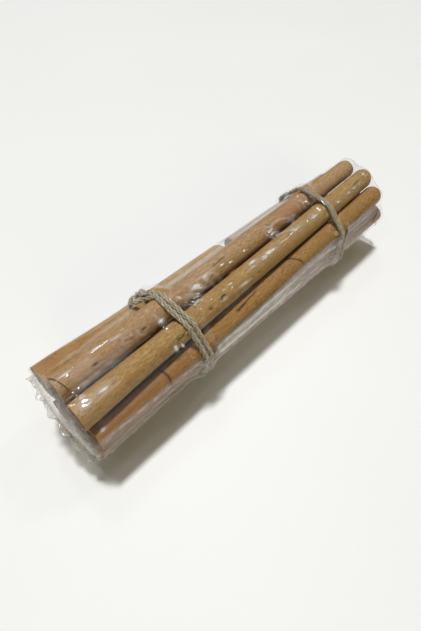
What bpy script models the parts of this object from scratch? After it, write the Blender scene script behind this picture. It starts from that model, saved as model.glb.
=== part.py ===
# Bundle of cinnamon sticks in clear shrink film, tied with twine at two places.
# Metres, +Z up. The sticks lie along X, and the pack rests on the two tie bulges at z = 0.
import math
from collections import namedtuple

import bmesh
import bpy

MM = 0.001

# Sticks: eight round the middle, each straight and a little askew, some opened at the near end
AXIS_HEIGHT = 18.8 * MM
STICK_START = -76.0 * MM
STICK_END = 76.0 * MM
REACH = 13.0 * MM
REACH_OUT = 13.7 * MM
SEAM_TILT = math.radians(31.0)

# Of each stick: the turn from the seam's square towards -Y, in degrees, and the reach from the
# middle, both at the near (-X) and the far (+X) end, then the radius, how much wider the near end
# is, and where its two ends lie.
Stick = namedtuple("Stick", "near_turn near_reach far_turn far_reach radius flare near_x far_x")
STICKS = {
    "back_top": Stick(-84.0, 12.8 * MM, -102.0, 14.0 * MM, 4.6 * MM, 0.9 * MM, -76.2 * MM, 73.0 * MM),
    "top_back": Stick(-36.0, REACH, -63.0, REACH_OUT, 4.4 * MM, 0.0, -74.6 * MM, 77.0 * MM),
    "top": Stick(8.4, REACH, -20.0, REACH, 4.05 * MM, 0.5 * MM, -75.8 * MM, 73.6 * MM),
    "front_top": Stick(56.5, REACH, 20.0, REACH, 3.6 * MM, 0.0, -74.6 * MM, 72.9 * MM),
    "front_low": Stick(101.0, 11.6 * MM, 74.0, 10.7 * MM, 4.4 * MM, 0.7 * MM, -75.6 * MM, 76.4 * MM),
    "bottom_front": Stick(146.0, REACH, 122.0, 12.3 * MM, 4.4 * MM, 0.0, -75.2 * MM, 75.0 * MM),
    "bottom_back": Stick(191.0, REACH, 164.0, REACH_OUT, 4.3 * MM, 0.0, -75.8 * MM, 74.6 * MM),
    "back_low": Stick(231.0, REACH, 210.0, REACH, 4.2 * MM, 0.0, -75.0 * MM, 75.4 * MM),
}
FLARE_RUN = 32.0 * MM

# One stick at the back is short: past its end a slimmer one lies in the same place
SHORT_STICK = "back_top"
SHORT_STICK_END = 2.5 * MM
SLIMMER = 0.3 * MM
SLIMMING_RUN = 6.5 * MM

# Film: drawn tight, it sags a little between one stick and the next, and stands off in front
FILM_GAP = 0.15 * MM
FILM_LOOSE = 0.65 * MM
LOOSE_FOCUS = 4
FILM_SAG = 0.2
DEEPEST_HOLLOW = 3.2 * MM
RING_POINTS = 88
FACING_STEPS = 180
WIDEST_LEAN = 0.1

# Ties: where each lies, half the width of its band, how deep the film dips between its strands,
# how far it is askew, and the turn where it crosses its own place
Tie = namedtuple("Tie", "place half_width dip skew skew_turn")
TIES = (
    Tie(-32.9 * MM, 1.9 * MM, 0.35 * MM, 1.65 * MM, 40.0),
    Tie(44.0 * MM, 1.5 * MM, 0.0, 1.65 * MM, 125.0),
)
TIE_HEIGHT = 2.1 * MM
TENT_RUN = 6.5 * MM
TENT_HOLLOW = 2.4
SKEW_RUN = 12.0 * MM

# Ends: the film closes over the stick ends to a flat seam with a crumpled fin
NEAR_END = -76.2 * MM
FAR_END = 76.2 * MM
END_RUN = 14.0 * MM
RIM_BLEND = 14.0
RIM_GAP = 0.3 * MM
END_BULGE = 2.4 * MM
CORNER_SHARE = 0.25
END_ROUND = 0.35
END_STEPS = (0.12, 0.3, 0.55, 0.8, 0.93, 1.0)
SEAM_HALF_WIDTH = 16.6 * MM
SEAM_NARROWING = 0.02
FIN_HALF_THICKNESS = 0.35 * MM
FIN_REACH = 1.3 * MM
FIN_RAGGED = 0.5 * MM
FIN_WAVE = 0.7 * MM
FIN_STEPS = (0.5, 1.0)
FIN_TEETH = (17.0, 31.0)
FIN_FOLDS = (9.0, 23.0)

# Rings: their steps out from each tie's band, in tent runs, and from each end, in end runs
BAND_STEPS = (-1.0, -0.5, 0.0, 0.5, 1.0)
TIE_STEPS = (0.12, 0.26, 0.45, 0.7, 1.0, 1.4)
END_RUN_STEPS = (0.0, 0.08, 0.4, 0.8)
MIDDLE_STEPS = (-2.8, -1.6, -0.8, -0.2, 0.5, 1.1, 1.8, 2.8)

FILM_COLOUR = (0.50, 0.40, 0.31, 1.0)
FILM_ROUGHNESS = 0.12


def clear_scene():
    for item in list(bpy.data.objects):
        bpy.data.objects.remove(item, do_unlink=True)


def smooth_step(value):
    value = min(max(value, 0.0), 1.0)
    return value * value * (3.0 - 2.0 * value)


def stick_circles(x):
    """Centre (y, z) from the bundle's middle, and radius, of each stick at this x."""
    along = (x - STICK_START) / (STICK_END - STICK_START)
    opened = 1.0 - smooth_step((x - STICK_START) / FLARE_RUN)
    circles = []
    for name, stick in STICKS.items():
        start = math.radians(stick.near_turn) + SEAM_TILT
        end = math.radians(stick.far_turn) + SEAM_TILT
        near_y, near_z = on_ray(stick.near_reach, start)
        far_y, far_z = on_ray(stick.far_reach, end)
        y = near_y + (far_y - near_y) * along
        z = near_z + (far_z - near_z) * along
        radius = stick.radius + stick.flare * opened
        if name == SHORT_STICK:
            radius -= SLIMMER * smooth_step((x - SHORT_STICK_END) / SLIMMING_RUN)
        circles.append((y, z, radius))
    return circles


def on_ray(distance, turn):
    """(y, z) at this distance from the middle; the turn starts at +Z and goes towards -Y."""
    return -distance * math.sin(turn), distance * math.cos(turn)


def support(circles, turn):
    """How far the sticks reach in one direction."""
    return max(-y * math.sin(turn) + z * math.cos(turn) + r for y, z, r in circles)


def outermost(circles, turn):
    """Distance from the middle to the outer side of the outermost stick, on one ray."""
    found = 0.0
    for y, z, r in circles:
        ahead = -y * math.sin(turn) + z * math.cos(turn)
        aside = y * math.cos(turn) + z * math.sin(turn)
        if abs(aside) < r:
            found = max(found, ahead + math.sqrt(r * r - aside * aside))
    return found


def film_section(x):
    """Film radius on each of the ring's rays at this x, away from the ties."""
    circles = stick_circles(x)
    facing = [2.0 * math.pi * k / FACING_STEPS for k in range(FACING_STEPS)]
    reach = [support(circles, turn) for turn in facing]
    radii = []
    for j in range(RING_POINTS):
        turn = ring_turn(j)
        tight = math.inf
        for away, far in zip(facing, reach):
            lean = math.cos(turn - away)
            if lean > WIDEST_LEAN:
                tight = min(tight, far / lean)
        hollow = min(max(tight - outermost(circles, turn), 0.0), DEEPEST_HOLLOW)
        radii.append(tight - FILM_SAG * hollow + FILM_GAP)
    return radii


def looseness(turn):
    """How far the film stands off the sticks in front and below."""
    return FILM_LOOSE * max(math.sin(turn - SEAM_TILT), 0.0) ** LOOSE_FOCUS


def ring_turn(j):
    """Turn of a ring point; the first and the middle one lie at the two ends of the seam."""
    return 2.0 * math.pi * j / RING_POINTS + SEAM_TILT - math.pi / 2.0


def tent(x, tie):
    """How far the film stands off the sticks where it goes up over a tie."""
    away = abs(x - tie.place) - tie.half_width
    if away > 0.0:
        return TIE_HEIGHT * (1.0 - smooth_step(away / TENT_RUN)) ** TENT_HOLLOW
    return TIE_HEIGHT - tie.dip * (1.0 - smooth_step(1.0 + away / tie.half_width)) ** 2


def rim_x(turn, side):
    """Where the film turns over the stick ends: it follows the ends of the sticks beside it."""
    total, weighted = 0.0, 0.0
    for stick in STICKS.values():
        degrees = stick.near_turn if side < 0.0 else stick.far_turn
        apart = turn - math.radians(degrees) - SEAM_TILT
        closeness = math.exp(RIM_BLEND * (math.cos(apart) - 1.0))
        end = stick.near_x if side < 0.0 else stick.far_x
        total += closeness
        weighted += closeness * end
    return weighted / total + side * RIM_GAP


def ring_x(x, turn):
    """Place of a ring point along the pack: askew at the ties, uneven at the ends."""
    for tie in TIES:
        away = max(abs(x - tie.place) - tie.half_width, 0.0)
        if away < SKEW_RUN:
            askew = tie.skew * math.sin(turn - SEAM_TILT - math.radians(tie.skew_turn))
            x += askew * (1.0 - smooth_step(away / SKEW_RUN))
            break
    for end, side in ((NEAR_END, -1.0), (FAR_END, 1.0)):
        share = smooth_step(1.0 - abs(x - end) / END_RUN)
        x += (rim_x(turn, side) - end) * share
    return x


def side_stations():
    """Places of the rings along the sides, closer together at the ties."""
    places = [NEAR_END + step * END_RUN for step in END_RUN_STEPS]
    places += [FAR_END - step * END_RUN for step in END_RUN_STEPS]
    for tie in TIES:
        places += [tie.place + step * tie.half_width for step in BAND_STEPS]
        for step in TIE_STEPS:
            places.append(tie.place - tie.half_width - step * TENT_RUN)
            places.append(tie.place + tie.half_width + step * TENT_RUN)
    middle = 0.5 * (TIES[0].place + TIES[1].place)
    places += [middle + step * TENT_RUN for step in MIDDLE_STEPS]
    return sorted(places)


def side_ring(x):
    rise = max(tent(x, tie) for tie in TIES) / TIE_HEIGHT
    ring = []
    for j, radius in enumerate(film_section(x)):
        turn = ring_turn(j)
        loose = looseness(turn)
        y, z = on_ray(radius + loose + (TIE_HEIGHT - loose) * rise, turn)
        ring.append((ring_x(x, turn), y, max(AXIS_HEIGHT + z, 0.0)))
    return ring


def seam_frame(y, z):
    """A point of the section as (along the seam, square to it), from the bundle's middle."""
    along = -y * math.cos(SEAM_TILT) - (z - AXIS_HEIGHT) * math.sin(SEAM_TILT)
    square = -y * math.sin(SEAM_TILT) + (z - AXIS_HEIGHT) * math.cos(SEAM_TILT)
    return along, square


def from_seam_frame(x, along, square):
    y = -along * math.cos(SEAM_TILT) - square * math.sin(SEAM_TILT)
    z = AXIS_HEIGHT - along * math.sin(SEAM_TILT) + square * math.cos(SEAM_TILT)
    return x, y, z


def seam_spread(along):
    """One in the middle of the seam, nought at its two corners."""
    return 1.0 - min(abs(along) / SEAM_HALF_WIDTH, 1.0) ** 2


def seam_x(along, side):
    end = NEAR_END if side < 0.0 else FAR_END
    bulge = CORNER_SHARE + (1.0 - CORNER_SHARE) * seam_spread(along)
    return end + side * END_BULGE * bulge


def fin_edge(along, side):
    """Ragged outer edge of the fin: how far it reaches, and how far it waves up or down."""
    place = along / SEAM_HALF_WIDTH
    ragged = math.sin(FIN_TEETH[0] * place + side) + 0.6 * math.sin(FIN_TEETH[1] * place - side)
    wave = math.sin(FIN_FOLDS[0] * place + side) + 0.5 * math.sin(FIN_FOLDS[1] * place)
    return FIN_REACH + FIN_RAGGED * ragged, FIN_WAVE * wave * seam_spread(along)


def end_rings(ring, side):
    """Rings that close one end: over the rim, down to the seam, and out along the fin."""
    closing = [[] for _ in END_STEPS + FIN_STEPS]
    for x, y, z in ring:
        along, square = seam_frame(y, z)
        inner = math.copysign(min(abs(square), FIN_HALF_THICKNESS), square)
        meet = seam_x(along, side)
        for k, step in enumerate(END_STEPS):
            height = inner + (square - inner) * (1.0 - step) ** END_ROUND
            narrow = along * (1.0 - SEAM_NARROWING * step)
            closing[k].append(from_seam_frame(x + (meet - x) * step, narrow, height))
        reach, wave = fin_edge(along, side)
        for k, step in enumerate(FIN_STEPS, len(END_STEPS)):
            narrow = along * (1.0 - SEAM_NARROWING)
            out = meet + side * reach * step
            closing[k].append(from_seam_frame(out, narrow, inner + wave * step))
    return closing


def bridge(mesh, first, second):
    for j in range(RING_POINTS):
        after = (j + 1) % RING_POINTS
        mesh.faces.new((first[j], first[after], second[after], second[j]))


def close_fin(mesh, ring, side):
    """Faces across the fin's edge, from the upper half of the ring to the lower half."""
    half = RING_POINTS // 2
    for j in range(half):
        top, top_after = ring[j], ring[j + 1]
        low, low_after = ring[-j % RING_POINTS], ring[-(j + 1) % RING_POINTS]
        corners = [top, top_after, low_after, low]
        distinct = [c for k, c in enumerate(corners) if c not in corners[:k]]
        mesh.faces.new(distinct if side > 0.0 else distinct[::-1])


def film_material():
    material = bpy.data.materials.new("clear film over bark")
    material.use_nodes = True
    shader = material.node_tree.nodes["Principled BSDF"]
    shader.inputs["Base Color"].default_value = FILM_COLOUR
    shader.inputs["Roughness"].default_value = FILM_ROUGHNESS
    shader.inputs["Metallic"].default_value = 0.0
    material.diffuse_color = FILM_COLOUR
    return material


def wrapped_bundle():
    mesh = bmesh.new()
    sides = [side_ring(x) for x in side_stations()]
    rings = end_rings(sides[0], -1.0)[::-1] + sides + end_rings(sides[-1], 1.0)
    loops = [[mesh.verts.new(point) for point in ring] for ring in rings]
    for first, second in zip(loops, loops[1:]):
        bridge(mesh, first, second)
    close_fin(mesh, loops[0], -1.0)
    close_fin(mesh, loops[-1], 1.0)
    data = bpy.data.meshes.new("wrapped_bundle")
    mesh.to_mesh(data)
    mesh.free()
    data.shade_smooth()
    data.set_sharp_from_angle(angle=math.radians(50.0))
    data.materials.append(film_material())
    item = bpy.data.objects.new("wrapped_bundle", data)
    bpy.context.scene.collection.objects.link(item)
    return item


clear_scene()
wrapped_bundle()
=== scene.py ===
import math
import random
from collections import namedtuple

import bmesh
import bpy
import numpy as np
from mathutils import Matrix, Vector, noise


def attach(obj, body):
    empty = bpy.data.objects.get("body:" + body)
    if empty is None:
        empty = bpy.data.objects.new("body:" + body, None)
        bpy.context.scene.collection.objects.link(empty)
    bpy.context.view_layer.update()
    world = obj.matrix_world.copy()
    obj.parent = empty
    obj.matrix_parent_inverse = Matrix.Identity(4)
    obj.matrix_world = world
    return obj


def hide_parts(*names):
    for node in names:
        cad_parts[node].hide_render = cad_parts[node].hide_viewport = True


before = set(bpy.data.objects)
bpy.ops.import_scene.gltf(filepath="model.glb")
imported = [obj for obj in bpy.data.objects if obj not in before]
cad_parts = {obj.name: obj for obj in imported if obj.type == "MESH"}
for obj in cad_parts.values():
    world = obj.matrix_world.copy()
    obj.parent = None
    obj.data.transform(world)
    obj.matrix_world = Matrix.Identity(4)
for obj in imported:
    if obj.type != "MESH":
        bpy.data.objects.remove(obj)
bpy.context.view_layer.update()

# A bundle of cinnamon quills in clear shrink film, tied with jute twine at two places.
# The near end lies at -X. Sizes are in metres, written as so many millimetres.
MM = 0.001

# Quills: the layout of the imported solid
AXIS_HEIGHT = 18.8 * MM
STICK_START = -76.0 * MM
STICK_END = 76.0 * MM
REACH = 13.0 * MM
REACH_OUT = 13.7 * MM
SEAM_TILT = math.radians(31.0)

# Of each quill: turn from the seam's square towards -Y, in degrees, and reach from the middle,
# both at the near and the far end, then the radius, how much wider the near end is, and where
# its two ends lie.
Stick = namedtuple("Stick", "near_turn near_reach far_turn far_reach radius flare near_x far_x")
STICKS = {
    "back_top": Stick(-84.0, 12.8 * MM, -102.0, 14.0 * MM, 4.6 * MM, 0.9 * MM, -76.2 * MM, 73.0 * MM),
    "top_back": Stick(-36.0, REACH, -63.0, REACH_OUT, 4.4 * MM, 0.0, -74.6 * MM, 77.0 * MM),
    "top": Stick(8.4, REACH, -20.0, REACH, 4.05 * MM, 0.5 * MM, -75.8 * MM, 73.6 * MM),
    "front_top": Stick(56.5, REACH, 20.0, REACH, 3.6 * MM, 0.0, -74.6 * MM, 72.9 * MM),
    "front_low": Stick(101.0, 11.6 * MM, 74.0, 10.7 * MM, 4.4 * MM, 0.7 * MM, -75.6 * MM, 76.4 * MM),
    "bottom_front": Stick(146.0, REACH, 122.0, 12.3 * MM, 4.4 * MM, 0.0, -75.2 * MM, 75.0 * MM),
    "bottom_back": Stick(191.0, REACH, 164.0, REACH_OUT, 4.3 * MM, 0.0, -75.8 * MM, 74.6 * MM),
    "back_low": Stick(231.0, REACH, 210.0, REACH, 4.2 * MM, 0.0, -75.0 * MM, 75.4 * MM),
}
# The upper front quill under the film: thicker and nearer to the top one than its place in the
# film's outline
SHOWN_FRONT_TOP = Stick(53.2, 12.4 * MM, 18.4, 12.1 * MM, 4.05 * MM, 0.0, -74.6 * MM, 75.5 * MM)
SHOWN_TOP_END = 76.1 * MM
SHOWN_TOP_BACK_END = 77.6 * MM
FLARE_RUN = 32.0 * MM
INNER_REACH = 4.3 * MM
INNER_STICKS = {
    "inner_upper": Stick(30.0, INNER_REACH, 2.0, INNER_REACH, 4.0 * MM, 0.0, -75.4 * MM, 74.0 * MM),
    "inner_lower": Stick(210.0, INNER_REACH, 182.0, INNER_REACH, 4.0 * MM, 0.0, -74.8 * MM, 75.0 * MM),
}

# One quill at the back is short: past its end a slimmer one lies in the same place
SHORT_STICK = "back_top"
SHORT_STICK_END = 2.5 * MM
SLIMMER = 0.3 * MM
SLIMMING_RUN = 6.5 * MM

# Film: drawn tight, it sags a little between one quill and the next, and stands off in front
FILM_GAP = 0.15 * MM
FILM_LOOSE = 0.65 * MM
LOOSE_FOCUS = 4
FILM_SAG = 0.1
DEEPEST_HOLLOW = 3.2 * MM
FACING_STEPS = 360
WIDEST_LEAN = 0.1

# Ties. Of each: its place, half its width, how far the film dips between its strands, and how far
# and at which turn it lies askew. Then how high the film stands over them, and how it comes down.
Tie = namedtuple("Tie", "place half_width dip skew skew_turn")
NEAR_TIE = Tie(-32.9 * MM, 1.9 * MM, 0.35 * MM, 1.65 * MM, 40.0)
FAR_TIE = Tie(44.0 * MM, 1.5 * MM, 0.0, 1.65 * MM, 125.0)
TIES = (NEAR_TIE, FAR_TIE)
TIE_HEIGHT = 2.1 * MM
TENT_RUN = 6.5 * MM
TENT_HOLLOW = 2.4
SKEW_RUN = 12.0 * MM
STRAND_RADIUS = 0.92 * MM
SLIM_STRAND_RADIUS = 0.74 * MM

# Ends: the film closes over the quill ends to a flat seam with a crumpled fin
NEAR_END = -76.2 * MM
FAR_END = 76.2 * MM
END_RUN = 14.0 * MM
RIM_BLEND = 14.0
RIM_GAP = 0.3 * MM
END_BULGE = 2.4 * MM
CORNER_SHARE = 0.25
END_ROUND = 0.35
SEAM_HALF_WIDTH = 16.6 * MM
SEAM_NARROWING = 0.02
FIN_REACH = 1.3 * MM
FIN_RAGGED = 0.5 * MM
FIN_WAVE = 0.7 * MM
FIN_TEETH = (17.0, 31.0)
FIN_FOLDS = (9.0, 23.0)

# Fineness of the meshes
FILM_RAYS = 320
FILM_STATIONS = 262
END_FINENESS = 16


# Shared shape rules, in numpy so that whole rings are worked out at once
def smooth_step(value):
    value = np.clip(value, 0.0, 1.0)
    return value * value * (3.0 - 2.0 * value)


def bell(value, middle, width):
    return np.exp(-((value - middle) / width) ** 2)


def on_ray(distance, turn):
    """(y, z) from the bundle's middle; the turn starts at +Z and goes towards -Y."""
    return -distance * np.sin(turn), distance * np.cos(turn)


def stick_ends(stick):
    """The quill's centre, from the bundle's middle, at the layout's two ends."""
    near = on_ray(stick.near_reach, math.radians(stick.near_turn) + SEAM_TILT)
    far = on_ray(stick.far_reach, math.radians(stick.far_turn) + SEAM_TILT)
    return near, far


def stick_centre(stick, x):
    (near_y, near_z), (far_y, far_z) = stick_ends(stick)
    along = (x - STICK_START) / (STICK_END - STICK_START)
    return near_y + (far_y - near_y) * along, near_z + (far_z - near_z) * along


def stick_radius(name, stick, x):
    radius = stick.radius + stick.flare * (1.0 - smooth_step((x - STICK_START) / FLARE_RUN))
    if name == SHORT_STICK:
        radius -= SLIMMER * smooth_step((x - SHORT_STICK_END) / SLIMMING_RUN)
    return radius


def hull_radius(x, turns):
    """Radius of a band drawn tight round the quills at this x, on each ray."""
    facing = np.linspace(0.0, 2.0 * math.pi, FACING_STEPS, endpoint=False)
    reach = np.full(FACING_STEPS, -1.0)
    for name, stick in STICKS.items():
        y, z = stick_centre(stick, x)
        radius = stick_radius(name, stick, x)
        reach = np.maximum(reach, -y * np.sin(facing) + z * np.cos(facing) + radius)
    lean = np.cos(turns[:, None] - facing[None, :])
    return np.where(lean > WIDEST_LEAN, reach / np.maximum(lean, WIDEST_LEAN), np.inf).min(axis=1)


def hollow_depth(x, turns, tight):
    """How far the outermost quill lies under that band, on each ray."""
    found = np.zeros(len(turns))
    for name, stick in STICKS.items():
        y, z = stick_centre(stick, x)
        ahead = -y * np.sin(turns) + z * np.cos(turns)
        aside = y * np.cos(turns) + z * np.sin(turns)
        inside = np.maximum(stick_radius(name, stick, x) ** 2 - aside ** 2, 0.0)
        found = np.maximum(found, np.where(inside > 0.0, ahead + np.sqrt(inside), 0.0))
    return np.clip(tight - found, 0.0, DEEPEST_HOLLOW)


def looseness(turns):
    """How far the film stands off the quills in front and below."""
    return FILM_LOOSE * np.maximum(np.sin(turns - SEAM_TILT), 0.0) ** LOOSE_FOCUS


def tent(x):
    """How far the film stands off the quills where it goes up over a tie."""
    lift = 0.0
    for tie in TIES:
        away = abs(x - tie.place) - tie.half_width
        if away > 0.0:
            rise = TIE_HEIGHT * (1.0 - smooth_step(away / TENT_RUN)) ** TENT_HOLLOW
        else:
            rise = TIE_HEIGHT - tie.dip * (1.0 - smooth_step(1.0 + away / tie.half_width)) ** 2
        lift = max(lift, rise)
    return lift


def rim_x(turns, side):
    """Where the film turns over the quill ends: it follows the ends of the quills beside it."""
    total, weighted = np.zeros(len(turns)), np.zeros(len(turns))
    for stick in STICKS.values():
        degrees = stick.near_turn if side < 0.0 else stick.far_turn
        apart = turns - math.radians(degrees) - SEAM_TILT
        closeness = np.exp(RIM_BLEND * (np.cos(apart) - 1.0))
        total += closeness
        weighted += closeness * (stick.near_x if side < 0.0 else stick.far_x)
    return weighted / total + side * RIM_GAP


def tie_askew(tie, turns):
    return tie.skew * np.sin(turns - SEAM_TILT - math.radians(tie.skew_turn))


def ring_x(x, turns):
    """Place of a ring's points along the pack: askew at the ties, uneven at the ends."""
    place = np.full(len(turns), x)
    for tie in TIES:
        away = max(abs(x - tie.place) - tie.half_width, 0.0)
        if away < SKEW_RUN:
            place = place + tie_askew(tie, turns) * (1.0 - smooth_step(away / SKEW_RUN))
            break
    for end, side in ((NEAR_END, -1.0), (FAR_END, 1.0)):
        share = smooth_step(1.0 - abs(x - end) / END_RUN)
        if share > 0.0:
            place = place + (rim_x(turns, side) - end) * share
    return place


def seam_frame(y, z):
    """A point from the bundle's middle as (along the end seam, square to it)."""
    along = -y * math.cos(SEAM_TILT) - z * math.sin(SEAM_TILT)
    square = -y * math.sin(SEAM_TILT) + z * math.cos(SEAM_TILT)
    return along, square


def from_seam_frame(along, square):
    y = -along * math.cos(SEAM_TILT) - square * math.sin(SEAM_TILT)
    z = -along * math.sin(SEAM_TILT) + square * math.cos(SEAM_TILT)
    return y, z


def seam_spread(along):
    return 1.0 - np.minimum(np.abs(along) / SEAM_HALF_WIDTH, 1.0) ** 2


def seam_x(along, side):
    end = NEAR_END if side < 0.0 else FAR_END
    return end + side * END_BULGE * (CORNER_SHARE + (1.0 - CORNER_SHARE) * seam_spread(along))


# Making meshes and node trees
def mesh_object(name, points, faces, material, smooth=True):
    data = bpy.data.meshes.new(name)
    data.from_pydata([tuple(p) for p in points], [], faces)
    data.update()
    if smooth:
        data.shade_smooth()
    data.materials.append(material)
    item = bpy.data.objects.new(name, data)
    bpy.context.scene.collection.objects.link(item)
    return item


def store_number(item, name, values):
    """A number for each point of the mesh, read by the piece's material."""
    attribute = item.data.attributes.new(name, "FLOAT", "POINT")
    attribute.data.foreach_set("value", np.asarray(values, dtype=np.float32))


def add_node(tree, kind, settings=None, inputs=None):
    """One node, with its settings, and its inputs joined to sockets or set to values."""
    node = tree.nodes.new(kind)
    for name, value in (settings or {}).items():
        setattr(node, name, value)
    for key, value in (inputs or {}).items():
        socket = node.inputs[key]
        if isinstance(value, bpy.types.NodeSocket):
            tree.links.new(value, socket)
        else:
            socket.default_value = value
    return node


def calc(tree, operation, first, second=0.0, third=0.0):
    """Result of a Math node."""
    inputs = {0: first, 1: second, 2: third}
    return add_node(tree, "ShaderNodeMath", {"operation": operation}, inputs).outputs[0]


def times(tree, first, second):
    return calc(tree, "MULTIPLY", first, second)


def vector_calc(tree, operation, first, second=(0.0, 0.0, 0.0)):
    """Result of a Vector Math node on two vectors."""
    node = add_node(tree, "ShaderNodeVectorMath", {"operation": operation}, {0: first, 1: second})
    return node.outputs["Value" if operation == "LENGTH" else "Vector"]


def scaled(tree, vector, share):
    settings = {"operation": "SCALE"}
    return add_node(tree, "ShaderNodeVectorMath", settings, {0: vector, 3: share}).outputs["Vector"]


def ranged(tree, value, low, high, to_low=0.0, to_high=1.0, smooth=True):
    kind = "SMOOTHSTEP" if smooth else "LINEAR"
    inputs = {0: value, 1: low, 2: high, 3: to_low, 4: to_high}
    node = add_node(tree, "ShaderNodeMapRange", {"interpolation_type": kind}, inputs)
    return node.outputs[0]


def shape_step(tree, kind, inputs=None, settings=None):
    """First output of one step of a Geometry Nodes tree."""
    return add_node(tree, "GeometryNode" + kind, settings, inputs).outputs[0]


def with_values(tree, shape, name, values, kind="FLOAT"):
    """The shape with a value stored at each point, for its material."""
    inputs = {"Geometry": shape, "Name": name, "Value": values}
    return shape_step(tree, "StoreNamedAttribute", inputs, {"data_type": kind, "domain": "POINT"})


def seeded_noise(tree, place, seed, scale, detail, output="Fac"):
    """Noise that a number sets apart."""
    inputs = {"Vector": place, "W": seed, "Scale": scale, "Detail": detail}
    return add_node(tree, "ShaderNodeTexNoise", {"noise_dimensions": "4D"}, inputs).outputs[output]


def new_shape_tree(name, inputs):
    """An empty Geometry Nodes tree with a Geometry input and these named inputs."""
    tree = bpy.data.node_groups.new(name, "GeometryNodeTree")
    tree.interface.new_socket("Geometry", in_out="INPUT", socket_type="NodeSocketGeometry")
    for label, kind in inputs:
        tree.interface.new_socket(label, in_out="INPUT", socket_type="NodeSocket" + kind)
    tree.interface.new_socket("Geometry", in_out="OUTPUT", socket_type="NodeSocketGeometry")
    given = tree.nodes.new("NodeGroupInput")
    return tree, given


def finish_tree(tree, given, shape):
    """Ends a tree: real geometry, in its material."""
    real = shape_step(tree, "RealizeInstances", {"Geometry": shape})
    dressed = shape_step(tree, "SetMaterial", {"Geometry": real, "Material": given.outputs["Material"]})
    out = tree.nodes.new("NodeGroupOutput")
    tree.links.new(dressed, out.inputs[0])


def grown(name, data, tree, values):
    """A plain mesh object: what the tree makes of this data with these input values."""
    seed_object = bpy.data.objects.new(name + "_seed", data)
    bpy.context.scene.collection.objects.link(seed_object)
    modifier = seed_object.modifiers.new("shape", "NODES")
    modifier.node_group = tree
    for entry in tree.interface.items_tree:
        if entry.in_out == "INPUT" and entry.name in values:
            modifier[entry.identifier] = values[entry.name]
    graph = bpy.context.evaluated_depsgraph_get()
    graph.update()
    mesh = bpy.data.meshes.new_from_object(seed_object.evaluated_get(graph), depsgraph=graph)
    bpy.data.objects.remove(seed_object, do_unlink=True)
    mesh.name = name
    mesh.shade_smooth()
    item = bpy.data.objects.new(name, mesh)
    bpy.context.scene.collection.objects.link(item)
    return item


# Materials
def new_material(name):
    material = bpy.data.materials.new(name)
    material.use_nodes = True
    tree = material.node_tree
    return material, tree, tree.nodes["Principled BSDF"]


def mixed_colour(tree, share, first, second):
    node = tree.nodes.new("ShaderNodeMix")
    node.data_type = "RGBA"
    for socket, value in ((node.inputs[0], share), (node.inputs[6], first), (node.inputs[7], second)):
        if isinstance(value, bpy.types.NodeSocket):
            tree.links.new(value, socket)
        else:
            socket.default_value = value
    return node.outputs[2]


def noise_at(tree, coordinates, stretch, scale, detail=3.0, roughness=0.55, shift=0.0):
    """Noise in stretched coordinates, from nought to one."""
    moved = add_node(tree, "ShaderNodeMapping", None, {
        "Vector": coordinates,
        "Location": (shift, shift * 0.37, -shift * 0.61),
        "Scale": stretch,
    })
    inputs = {"Vector": moved.outputs[0], "Scale": scale, "Detail": detail, "Roughness": roughness}
    return add_node(tree, "ShaderNodeTexNoise", None, inputs).outputs["Fac"]


def stored(tree, name, output="Fac"):
    return add_node(tree, "ShaderNodeAttribute", {"attribute_name": name}).outputs[output]


BUMP_DEPTH = 0.10 * MM


def bumped(tree, height, strength):
    """Normal of a surface with this fine relief."""
    inputs = {"Strength": strength, "Distance": BUMP_DEPTH, "Height": height}
    return add_node(tree, "ShaderNodeBump", None, inputs).outputs[0]


def scaled_colour(colour, factors):
    return tuple(part * factor for part, factor in zip(colour, (*factors, 1.0)))


# Tones of the bark, as shares of a quill's own colour
DEEP_SHARE = (0.63, 0.57, 0.49)
PALE_SHARE = (1.20, 1.24, 1.30)
RUDDY_SHARE = (0.86, 0.70, 0.68)
OLIVE_SHARE = (0.86, 0.94, 0.80)
# Colour of cracks and pores, and of the painted shade marks
CRACK_AND_SHADE_COLOUR = (0.030, 0.016, 0.009, 1.0)
# Patterns of the bark: stretch, fineness, detail, roughness, and a shift that sets each apart
BARK_PATTERNS = {
    "grain": ((0.34, 1.0, 1.0), 1900.0, 4.0, 0.72, 0.0),
    "streak": ((0.045, 1.0, 1.0), 900.0, 3.0, 0.5, 0.3),
    "ruddy": ((0.35, 1.0, 1.0), 130.0, 3.0, 0.6, 0.7),
    "olive": ((0.22, 1.0, 1.0), 210.0, 3.0, 0.6, 1.9),
    "pore": ((0.42, 1.0, 1.0), 2100.0, 1.0, 0.5, 3.1),
}
# Levels of a pattern between which a tone comes in, and the least and most of that tone
GRAIN_LEVELS = (0.30, 0.66)
STREAK_LEVELS = (0.50, 0.75, 0.0, 0.40)
OLIVE_LEVELS = (0.50, 0.68, 0.0, 0.5)
RUDDY_LEVELS = (0.52, 0.70, 0.0, 0.45)
PORE_LEVELS = (0.67, 0.74, 0.0, 0.45)
BARK_ROUGHNESS = (0.3, 0.7, 0.62, 0.8)
BARK_GRAIN_RELIEF = 0.7
BARK_STREAK_RELIEF = 0.8
BARK_BUMP = 0.4


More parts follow.
